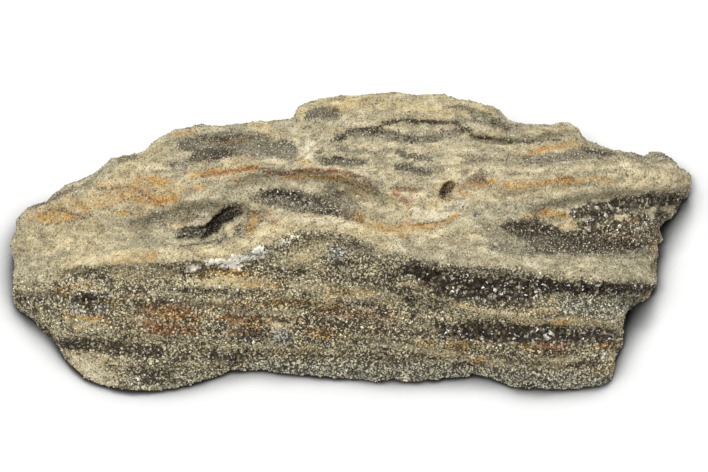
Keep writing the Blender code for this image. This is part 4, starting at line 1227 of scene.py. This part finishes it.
@dataclass
class Skin:
    """The stone's own surface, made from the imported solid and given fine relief.

    Args:
        cover: What lies where.
        voxel: Grid of the remesh in metres.
        sole: Height of the flat foot that is cut clean, in metres.
        sunk: How far the surface lies back under coarse crystals, in millimetres.
        swell: Rise of the broad swells in millimetres.
        knob: Rise of the knobs of the druse in millimetres.
        fibre: Rise of the fibres of the sandy ground in millimetres.
        grit: Rise of the grit in millimetres.
        foot: Height under which the relief fades out, in millimetres.
        axle: Height of the line about which the flat map is unrolled, in metres.
        name: Name of the piece.
    """

    cover: Cover
    voxel: float = 0.82 * MM
    sole: float = 0.35 * MM
    sunk: float = 0.35
    swell: float = 0.55
    knob: float = 1.3
    fibre: float = 0.3
    grit: float = 0.12
    foot: float = 1.2
    axle: float = 0.018
    name: str = "stone_skin"
    piece: bpy.types.Object | None = field(default=None, init=False)

    def build(self) -> bpy.types.Object:
        """Build the skin and dress it."""
        self.piece = self.copy_solid()
        self.remesh()
        self.cut_sole()
        self.carve()
        self.dress()
        return self.piece

    def copy_solid(self) -> bpy.types.Object:
        """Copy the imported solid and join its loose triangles."""
        solid = bpy.data.objects[NODE]
        mesh = solid.data.copy()
        mesh.name = self.name
        mesh.transform(solid.matrix_world)
        piece = place_new(self.name, mesh)
        solo(piece)
        bpy.ops.object.mode_set(mode="EDIT")
        bpy.ops.mesh.select_all(action="SELECT")
        bpy.ops.mesh.remove_doubles(threshold=SMALLEST)
        bpy.ops.object.mode_set(mode="OBJECT")
        while mesh.uv_layers:
            mesh.uv_layers.remove(mesh.uv_layers[0])
        return piece

    def remesh(self) -> None:
        """Rebuild the surface as an even grid of small faces."""
        solo(self.piece)
        grid = self.piece.modifiers.new("grid", "REMESH")
        grid.mode = "VOXEL"
        grid.voxel_size = self.voxel
        bpy.ops.object.modifier_apply(modifier=grid.name)

    def cut_sole(self) -> None:
        """Cut the foot flat, close it with one face and set it on the ground."""
        solo(self.piece)
        bpy.ops.object.mode_set(mode="EDIT")
        bpy.ops.mesh.select_all(action="SELECT")
        bpy.ops.mesh.bisect(plane_co=(0.0, 0.0, self.sole), plane_no=(0.0, 0.0, 1.0),
                            clear_inner=True)
        bpy.ops.mesh.fill()
        bpy.ops.mesh.dissolve_limited(angle_limit=math.radians(1.0))
        bpy.ops.object.mode_set(mode="OBJECT")
        place = read_points(self.piece.data)
        place[:, 2] = np.where(place[:, 2] < self.sole + SMALLEST, 0.0, place[:, 2])
        self.write_points(place)

    def write_points(self, place: Array) -> None:
        """Move the vertices to new places, in metres."""
        self.piece.data.vertices.foreach_set("co", place.astype(np.float32).ravel())
        self.piece.data.update()

    def carve(self) -> None:
        """Give the surface its lumps, fibres and grain."""
        mesh = self.piece.data
        place = read_points(mesh)
        normal = read_points(mesh, "normal")
        spot = place / MM
        druse = self.cover.at(spot, normal)[:, DRUSE]
        lumps = knobs(spot, 5.5, 31) + 0.5 * knobs(spot, 2.6, 35)
        relief = self.swell * rough_noise(spot, 7.0, 41)
        relief += druse * (self.knob * (lumps - 0.62) - self.sunk)
        relief += (1.0 - druse) * self.fibre * rough_noise(spot, (9.0, 1.4, 1.4), 43)
        relief += self.grit * rough_noise(spot, 1.7, 44)
        relief *= ease(0.0, self.foot, spot[:, 2])
        place += normal * relief[:, None] * MM
        place[:, 2] = np.maximum(place[:, 2], 0.0)
        self.write_points(place)

    def dress(self) -> None:
        """Store the paint and the flat map, and set the finish."""
        mesh = self.piece.data
        place = read_points(mesh)
        rows = self.cover.at(place / MM, read_points(mesh, "normal"))
        store_colour(mesh, rows[:, :3], "POINT")
        store_number(mesh, ROUGH, rows[:, DRUSE])
        store_map(mesh, self.unrolled(place)[corner_points(mesh)])
        solo(self.piece)
        bpy.ops.object.shade_smooth()
        register(self.piece, SkinFinish().material())
        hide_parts(NODE)

    def unrolled(self, place: Array) -> Array:
        """Unroll the stone about its long axis.

        Args:
            place: Points in metres.

        Returns:
            Flat places from 0 to 1.
        """
        low, high = place.min(axis=0), place.max(axis=0)
        turn = np.arctan2(place[:, 2] - self.axle, -place[:, 1]) / (2.0 * math.pi) + 0.25
        return np.stack([(place[:, 0] - low[0]) / (high[0] - low[0]), turn % 1.0], axis=1)


@dataclass(frozen=True)
class Seeds:
    """Points spread over the skin, where crystals grow.

    Args:
        place: Points in millimetres.
        normal: Outward directions.
        rows: What covers each point.
    """

    place: Array
    normal: Array
    rows: Array

    def keep(self, chosen: Array) -> "Seeds":
        """Return only the chosen points."""
        return Seeds(self.place[chosen], self.normal[chosen], self.rows[chosen])

    def chance(self, seed: int) -> Array:
        """Draw one number from 0 to 1 for each point."""
        return np.random.default_rng(seed).random(len(self.place))


@dataclass
class Ground:
    """The skin as crystals see it.

    Args:
        skin: The finished skin.
        cover: What lies where.
        stray: How far a crystal reads the cover from its own place, in millimetres.
        foot: Height under which nothing grows, in millimetres.
        tries: Points tried for each one that finds room.
    """

    skin: bpy.types.Object
    cover: Cover
    stray: Triple = (1.0, 0.4, 0.4)
    foot: float = 0.3
    tries: float = 3.0

    def spread(self, spacing: float, seed: int, mixed: float = 1.0) -> Seeds:
        """Spread points evenly over all but the foot.

        Args:
            spacing: Rough distance between points in millimetres.
            seed: Which draw.
            mixed: How much of the stray to use.

        Returns:
            The points with their cover.
        """
        draw = np.random.default_rng(seed)
        mesh = self.skin.data
        place = read_points(mesh) / MM
        normal = read_points(mesh, "normal")
        corners = read_triangles(mesh)
        corners = corners[place[corners][:, :, 2].max(axis=1) > self.foot]
        sides = place[corners]
        area = 0.5 * np.linalg.norm(
            np.cross(sides[:, 1] - sides[:, 0], sides[:, 2] - sides[:, 0]), axis=1)
        count = int(self.tries * area.sum() / spacing ** 2)
        pick = draw.choice(len(corners), count, p=area / area.sum())
        share = draw.dirichlet((1.0, 1.0, 1.0), count)
        spot = (sides[pick] * share[:, :, None]).sum(axis=1)
        out = (normal[corners[pick]] * share[:, :, None]).sum(axis=1)
        out /= np.linalg.norm(out, axis=1, keepdims=True)
        cell = np.floor(spot / spacing + draw.random(3)).astype(np.int64)
        # One whole number for each cell: no two cells of the stone share it
        key = cell @ np.array([1, 100003, 10000600009])
        first = np.sort(np.unique(key, return_index=True)[1])
        spot, out = spot[first], out[first]
        stray = draw.normal(0.0, mixed, spot.shape) * self.stray
        return Seeds(spot, out, self.cover.at(spot + stray, out))


@dataclass(frozen=True)
class Crystal:
    """One small crystal, pointing up from the origin, of unit width and height.

    Args:
        place: Its points.
        faces: Its triangles.
    """

    place: Array
    faces: Array

    @property
    def sides(self) -> Array:
        """Which flat side of the crystal each triangle lies on."""
        corner = self.place[self.faces]
        out = np.cross(corner[:, 1] - corner[:, 0], corner[:, 2] - corner[:, 0])
        out = np.round(out / np.linalg.norm(out, axis=1, keepdims=True), 3)
        return np.unique(out, axis=0, return_inverse=True)[1].reshape(-1)

    @classmethod
    def cut(cls, sides: int, shoulder: float = 0.0, neck: float = 0.82) -> "Crystal":
        """Model the crystal: a prism drawn in to a tip, with no face where it is rooted.

        Args:
            sides: Number of sides.
            shoulder: Height of the prism's shoulder as a share, 0 for a bare tip.
            neck: Width of the shoulder as a share.

        Returns:
            The crystal.
        """
        deselect()
        bpy.ops.mesh.primitive_circle_add(vertices=sides, radius=1.0, fill_type="NGON")
        piece = bpy.context.object
        bpy.ops.object.mode_set(mode="EDIT")
        bpy.ops.mesh.select_all(action="SELECT")
        if shoulder > 0.0:
            bpy.ops.mesh.extrude_region_move(TRANSFORM_OT_translate={"value": (0, 0, shoulder)})
            bpy.ops.transform.resize(value=(neck, neck, 1.0))
        bpy.ops.mesh.extrude_region_move(TRANSFORM_OT_translate={"value": (0, 0, 1.0 - shoulder)})
        bpy.ops.mesh.merge(type="CENTER")
        bpy.ops.mesh.select_all(action="SELECT")
        bpy.ops.mesh.quads_convert_to_tris()
        bpy.ops.object.mode_set(mode="OBJECT")
        mesh = piece.data
        place, faces = read_points(mesh), read_triangles(mesh)
        faces = faces[place[faces][:, :, 2].max(axis=1) > 0.0]
        bpy.data.objects.remove(piece)
        bpy.data.meshes.remove(mesh)
        return cls(place, faces)


# How the crystals of a bed are shared out among the smoky and the pale: a plain share, then what
# darkness, sand, sparkle or iron add to it
SMOKY, SMOKY_DARK, SMOKY_SAND = 0.12, 0.62, 0.2
PALE, PALE_DARK, PALE_SPARKLE, PALE_IRON = 0.64, 0.2, 0.1, 0.15
# Share of coarse crystals that iron leaves unstained, and how much less the most stained lose
UNSTAINED, UNSTAINED_IRON = 0.35, 0.25
# How much of the paint shows through a smoky and a pale crystal
DEEP, DEEP_SAND, MILKY = 0.07, 0.22, 0.45
SMOKE: Colour = (34, 28, 23)
FROST: Colour = (196, 192, 174)
# Painted highlight: faces painted near white as glints, a few anywhere and more where the deposit
# sparkles
PAINTED_GLINT_WHITE: Colour = (250, 249, 244)
STRAY_PAINTED_GLINT = 0.002
BRIGHTEST = 0.95


@dataclass
class Growth:
    """A bed of crystals of one size, joined into one piece.

    Args:
        name: Name of the piece.
        crystal: The crystal that repeats.
        finish: Its finish.
        width: Half width of the largest deposit's crystals, low and high, in millimetres.
        length: Length of a crystal as a share of its width, low and high.
        lean: How far a crystal may lean, as a slope.
        contrast: How strongly crystals differ in shade, from 0 to 1.
        rooted: How deep a crystal is rooted, as a share of its length.
        painted_glint_faces: Share of faces painted white as glints, a painted highlight, where the
            deposit sparkles most.
        seed: Which draw.
        small: How the sizes crowd towards the small end, as the two shapes of a beta draw.
        skew: How far a tip may lie off its middle, as a share of the half width.
        flat: How flat the flattest crystal is.
        clear: Height of the lowest point above the floor, in millimetres.
    """

    name: str
    crystal: Crystal
    finish: CrystalFinish
    width: Pair
    length: Pair
    lean: float
    contrast: float
    rooted: float
    painted_glint_faces: float
    seed: int
    small: Pair = (1.4, 2.6)
    skew: float = 0.45
    flat: float = 0.65
    clear: float = 0.02

    def build(self, seeds: Seeds) -> bpy.types.Object:
        """Grow the bed on its points.

        Args:
            seeds: Where crystals grow.

        Returns:
            The finished piece.
        """
        draw = np.random.default_rng(self.seed)
        count = len(seeds.place)
        place = self.placed(seeds, draw)
        faces = (self.crystal.faces[None] +
                 len(self.crystal.place) * np.arange(count)[:, None, None]).reshape(-1, 3)
        mesh = bpy.data.meshes.new(self.name)
        mesh.vertices.add(len(place))
        mesh.vertices.foreach_set("co", (place * MM).astype(np.float32).ravel())
        mesh.loops.add(faces.size)
        mesh.loops.foreach_set("vertex_index", faces.astype(np.int32).ravel())
        mesh.polygons.add(len(faces))
        mesh.polygons.foreach_set("loop_start", np.arange(0, faces.size, 3, dtype=np.int32))
        mesh.update(calc_edges=True)
        mesh.shade_flat()
        store_colour(mesh, np.repeat(self.shades(seeds, draw), 3, axis=0), "CORNER")
        store_map(mesh, self.cells(count))
        piece = place_new(self.name, mesh)
        register(piece, self.finish.material())
        return piece

    def placed(self, seeds: Seeds, draw: np.random.Generator) -> Array:
        """Turn, stretch and set one crystal on each point.

        Args:
            seeds: Where crystals grow.
            draw: The random draw.

        Returns:
            All their points in millimetres.
        """
        count = len(seeds.place)
        up = seeds.normal + self.lean * draw.normal(0.0, 0.5, (count, 3))
        up /= np.linalg.norm(up, axis=1, keepdims=True)
        side = np.cross(up, draw.normal(0.0, 1.0, (count, 3)))
        side /= np.linalg.norm(side, axis=1, keepdims=True)
        other = np.cross(up, side)
        low, high = self.width
        wide = (low + (high - low) * draw.beta(*self.small, count)) * seeds.rows[:, SIZE]
        tall = wide * draw.uniform(*self.length, count)
        shape = np.repeat(self.crystal.place[None], count, axis=0)
        tip = shape[:, :, 2] > 0.99
        skew = draw.uniform(-self.skew, self.skew, (count, 2))
        shape[:, :, :2] += tip[:, :, None] * skew[:, None, :]
        flat = wide * draw.uniform(self.flat, 1.0, count)
        place = seeds.place[:, None, :] - (self.rooted * tall)[:, None, None] * up[:, None, :]
        place = place + shape[:, :, :1] * (wide[:, None] * side)[:, None, :]
        place = place + shape[:, :, 1:2] * (flat[:, None] * other)[:, None, :]
        place = place + shape[:, :, 2:] * (tall[:, None] * up)[:, None, :]
        place = place.reshape(-1, 3)
        place[:, 2] = np.maximum(place[:, 2], self.clear)
        return place

    def shades(self, seeds: Seeds, draw: np.random.Generator) -> Array:
        """Choose a colour for every face: smoky, plain, pale or bright.

        Args:
            seeds: What covers each point.
            draw: The random draw.

        Returns:
            Rows of linear colour, one for each face.
        """
        count, sides = len(seeds.place), self.crystal.sides
        paint, dark, sparkle = seeds.rows[:, :3], seeds.rows[:, DARK], seeds.rows[:, SPARKLE]
        iron, sandy = seeds.rows[:, IRON], 1.0 - seeds.rows[:, DRUSE]
        clean = draw.random(count) < seeds.rows[:, DRUSE] * (UNSTAINED - UNSTAINED_IRON * iron)
        paint = np.where((clean & (iron > 0.1))[:, None], FACE_GROUND.row()[:3], paint)
        kind = draw.random(count)
        smoky = kind < SMOKY + SMOKY_DARK * dark + SMOKY_SAND * sandy
        pale = kind > PALE + PALE_DARK * dark + PALE_SPARKLE * sparkle + PALE_IRON * iron
        colour = paint * draw.uniform(1.0 - 0.42 * self.contrast, 1.0 + 0.22 * self.contrast,
                                      (count, 1))
        deep = (DEEP + DEEP_SAND * sandy[:, None]) * paint
        deep = deep + linear(SMOKE) * draw.uniform(0.3, 1.6, (count, 1))
        light = MILKY * paint + linear(FROST) * draw.uniform(0.3, 1.15, (count, 1))
        weight = self.contrast * draw.uniform(0.75, 1.0, count)
        colour = np.where(smoky[:, None], blend(colour, deep, weight), colour)
        colour = np.where(pale[:, None], blend(colour, light, weight), colour)
        facet = draw.uniform(1.0 - 0.35 * self.contrast, 1.0 + 0.35 * self.contrast,
                             (count, sides.max() + 1, 1))
        colour = colour[:, None, :] * facet
        # Painted highlight: some faces are painted white as glints
        painted_glint_faces = draw.random((count, sides.max() + 1)) < STRAY_PAINTED_GLINT + self.painted_glint_faces * sparkle[:, None]
        colour = np.where(painted_glint_faces[:, :, None], linear(PAINTED_GLINT_WHITE), colour)
        return np.clip(colour[:, sides], 0.0, BRIGHTEST).reshape(-1, 3)

    def cells(self, count: int) -> Array:
        """Give every crystal its own square of the flat map.

        Args:
            count: Number of crystals.

        Returns:
            Flat places of all face corners.
        """
        across = math.ceil(math.sqrt(count))
        spread = self.crystal.place[:, :2] * (1.0 - 0.45 * self.crystal.place[:, 2:])
        spread = 0.5 + 0.42 * spread
        number = np.arange(count)
        corner = np.stack([number % across, number // across], axis=1)
        spots = corner[:, None, :] + spread[self.crystal.faces.ravel()][None]
        return spots.reshape(-1, 2) / across


@dataclass
class Druse:
    """All crystals on the stone.

    Args:
        cover: What lies where.
        coarse: Spacing of the coarse crystals in millimetres.
        fine: Spacing of the sandy grains in millimetres.
        large: Spacing of the large points in millimetres.
        crowd: Spacing of the largest coarse crystals in millimetres.
        flake: Spacing of the chalky flakes in millimetres.
        white: Darkest shade on which flakes grow.
        turned: How squarely the last of the seen side faces the eye.
    """

    cover: Cover
    coarse: float = 0.58
    fine: float = 0.62
    large: float = 1.6
    crowd: float = 0.95
    flake: float = 0.95
    white: Colour = (218, 218, 212)
    turned: float = 0.12

    def build(self, skin: bpy.types.Object) -> list[bpy.types.Object]:
        """Grow every bed on the skin.

        Args:
            skin: The finished skin.

        Returns:
            The pieces.
        """
        ground = Ground(skin, self.cover)
        return [*self.grow_grains(ground), *self.grow_crystals(ground), self.grow_points(ground),
                self.grow_flakes(ground)]

    def parted(self, seeds: Seeds) -> dict[str, Seeds]:
        """Part the points into the seen top, the seen face and the hidden back.

        Args:
            seeds: Points all over the stone.

        Returns:
            The points of each part, by its name.
        """
        along, up = self.cover.seen(seeds.place)
        above = self.cover.above_crest(along, up) > 0.0
        hidden = self.cover.facing(seeds.normal) < self.turned
        left = along < 0.0
        return {"top": seeds.keep(above & ~hidden), "face": seeds.keep(~above & ~hidden),
                "back_left": seeds.keep(hidden & left), "back_right": seeds.keep(hidden & ~left)}

    def grow_parts(self, bed: Growth, seeds: Seeds) -> list[bpy.types.Object]:
        """Grow a bed part by part.

        Args:
            bed: The bed, whose name each part adds its own to.
            seeds: Where its crystals grow.

        Returns:
            The pieces.
        """
        return [replace(bed, name=f"{bed.name}_{name}").build(part)
                for name, part in self.parted(seeds).items()]

    def grow_grains(self, ground: Ground) -> list[bpy.types.Object]:
        """Grow the sandy grains where the cover isn't coarse."""
        seeds = ground.spread(self.fine, 51, 0.35)
        seeds = seeds.keep(seeds.rows[:, DRUSE] < 0.25 + 0.55 * seeds.chance(52))
        finish = CrystalFinish("sandy_grains", gloss=(0.45, 0.75), shine=0.15)
        return self.grow_parts(
            Growth("sandy_grains", Crystal.cut(4), finish, width=(0.38, 0.9), length=(0.7, 1.4),
                   lean=0.9, contrast=1.0, rooted=0.3, painted_glint_faces=0.0, seed=53), seeds)

    def grow_crystals(self, ground: Ground) -> list[bpy.types.Object]:
        """Grow the coarse crystals of the druse."""
        seeds = ground.spread(self.coarse, 61)
        seeds = seeds.keep(seeds.rows[:, DRUSE] > 0.15 + 0.6 * seeds.chance(62))
        room = (self.coarse / seeds.rows[:, SIZE] / self.crowd) ** 2
        seeds = seeds.keep(seeds.chance(65) < room)
        finish = CrystalFinish("quartz_druse", gloss=(0.14, 0.4), shine=0.22)
        return self.grow_parts(
            Growth("quartz_druse", Crystal.cut(5), finish, width=(0.5, 1.3), length=(0.9, 1.6),
                   lean=1.0, contrast=1.0, rooted=0.3, painted_glint_faces=0.014, seed=63), seeds)

    def grow_points(self, ground: Ground) -> bpy.types.Object:
        """Grow the large points of the dark bands."""
        seeds = ground.spread(self.large, 71)
        seeds = seeds.keep(seeds.rows[:, SPARKLE] > 0.08 + 0.9 * seeds.chance(72))
        finish = CrystalFinish("quartz_points", gloss=(0.06, 0.25), shine=0.35)
        return Growth("quartz_points", Crystal.cut(6, shoulder=0.5), finish, width=(0.6, 1.5),
                      length=(1.1, 2.0), lean=1.1, contrast=1.0, rooted=0.35, painted_glint_faces=0.06,
                      seed=73).build(seeds)

    def grow_flakes(self, ground: Ground) -> bpy.types.Object:
        """Grow the flat white flakes of the chalky crust."""
        seeds = ground.spread(self.flake, 81)
        seeds = seeds.keep(seeds.rows[:, :3].min(axis=1) > linear(self.white).min())
        finish = CrystalFinish("chalk_flakes", gloss=(0.35, 0.6), shine=0.3)
        return Growth("chalk_flakes", Crystal.cut(5, shoulder=0.6), finish, width=(1.0, 2.6),
                      length=(0.3, 0.6), lean=0.6, contrast=0.12, rooted=0.3, painted_glint_faces=0.0,
                      seed=82).build(seeds)


@dataclass(frozen=True)
class Lamp:
    """One soft, far lamp.

    Args:
        name: Its name.
        place: The direction it shines from.
        spread: How wide it looks from the stone, in degrees.
        strength: Its strength in watts to the square metre.
    """

    name: str
    place: Triple
    spread: float
    strength: float

    def hang(self) -> None:
        """Hang the lamp, facing the stone."""
        light = bpy.data.lights.new(self.name, "SUN")
        light.energy = self.strength
        light.angle = math.radians(self.spread)
        lamp = place_new(self.name, light)
        lamp.location = self.place
        lamp.rotation_euler = Vector(self.place).to_track_quat("Z", "Y").to_euler()


@dataclass
class Studio:
    """White floor, pale surroundings, soft lights and the camera.

    Args:
        floor: Side of the floor in metres.
        shades: How dark the painted contact shadow makes the floor where the stone hides it most, and how
            white the floor is elsewhere.
        clear: Shares of open sky at which those two are reached.
        painted_shadow_reach: How far from the stone the painted contact shadow reaches, in metres.
        sky: Strength of the pale surroundings.
        distance: How far the camera stands, in metres.
        target: Where it looks, in metres.
        lamps: The lights.
    """

    floor: float = 30.0
    shades: Pair = (0.03, 0.85)
    clear: Pair = (0.4, 0.97)
    painted_shadow_reach: float = 14.0 * MM
    sky: float = 0.3
    distance: float = 2.5
    target: Triple = (0.79 * MM, -1.76 * MM, 28.79 * MM)
    lamps: tuple[Lamp, ...] = (
        Lamp("key", (-0.2, -0.4, 1.05), 14.0, 1.55),
        Lamp("back", (0.0, 0.42, 0.906), 24.0, 1.72),
    )

    def build(self) -> None:
        """Build the whole studio."""
        self.lay_floor()
        self.light_world()
        for lamp in self.lamps:
            lamp.hang()
        self.place_camera()

    def lay_floor(self) -> None:
        """Lay the white floor, with a painted contact shadow where the stone meets it."""
        deselect()
        bpy.ops.mesh.primitive_plane_add(size=self.floor, location=(0.0, 0.0, 0.0))
        floor = bpy.context.object
        floor.name = "floor"
        nodes = Nodes.fresh("white_floor_painted_shadow")
        # Painted shadow: the floor's own colour darkens with ambient occlusion near the stone
        sky = nodes.add("ShaderNodeAmbientOcclusion", samples=8)
        sky.inputs["Distance"].default_value = self.painted_shadow_reach
        shade = nodes.span(sky.outputs["AO"], self.clear, self.shades, "SMOOTHSTEP")
        nodes.link(shade, nodes.shader.inputs["Base Color"])
        nodes.shader.inputs["Roughness"].default_value = 0.9
        nodes.shader.inputs["Specular IOR Level"].default_value = 0.0
        floor.data.materials.append(nodes.material)

    def light_world(self) -> None:
        """Fill the surroundings with pale light."""
        world = bpy.data.worlds.new("pale")
        bpy.context.scene.world = world
        world.use_nodes = True
        tree = world.node_tree
        sky = tree.nodes["Background"]
        sky.inputs["Color"].default_value = (1.0, 1.0, 1.0, 1.0)
        rays = tree.nodes.new("ShaderNodeLightPath")
        strength = tree.nodes.new("ShaderNodeMapRange")
        strength.inputs["To Min"].default_value = self.sky
        strength.inputs["To Max"].default_value = 1.0
        tree.links.new(rays.outputs["Is Camera Ray"], strength.inputs["Value"])
        tree.links.new(strength.outputs["Result"], sky.inputs["Strength"])
        bpy.context.scene.view_settings.view_transform = "Standard"

    def place_camera(self) -> None:
        """Set the camera at the photograph's angle."""
        lens = bpy.data.cameras.new("camera")
        camera = place_new("camera", lens)
        outward = Vector((0.0, -math.cos(VIEW_ELEVATION), math.sin(VIEW_ELEVATION)))
        camera.location = Vector(self.target) + outward * self.distance
        camera.rotation_euler = outward.to_track_quat("Z", "Y").to_euler()
        lens.sensor_width = 36.0
        lens.lens = lens.sensor_width * self.distance / (FRAME_WIDTH * PIXEL)
        lens.clip_end = 200.0
        bpy.context.scene.camera = camera


def main() -> None:
    """Build the stone, its crystals and the studio."""
    logging.basicConfig(level=logging.INFO, format="%(name)s %(message)s")
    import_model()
    cover = Cover()
    skin = Skin(cover).build()
    Druse(cover).build(skin)
    Studio().build()


if __name__ == "__main__":
    main()
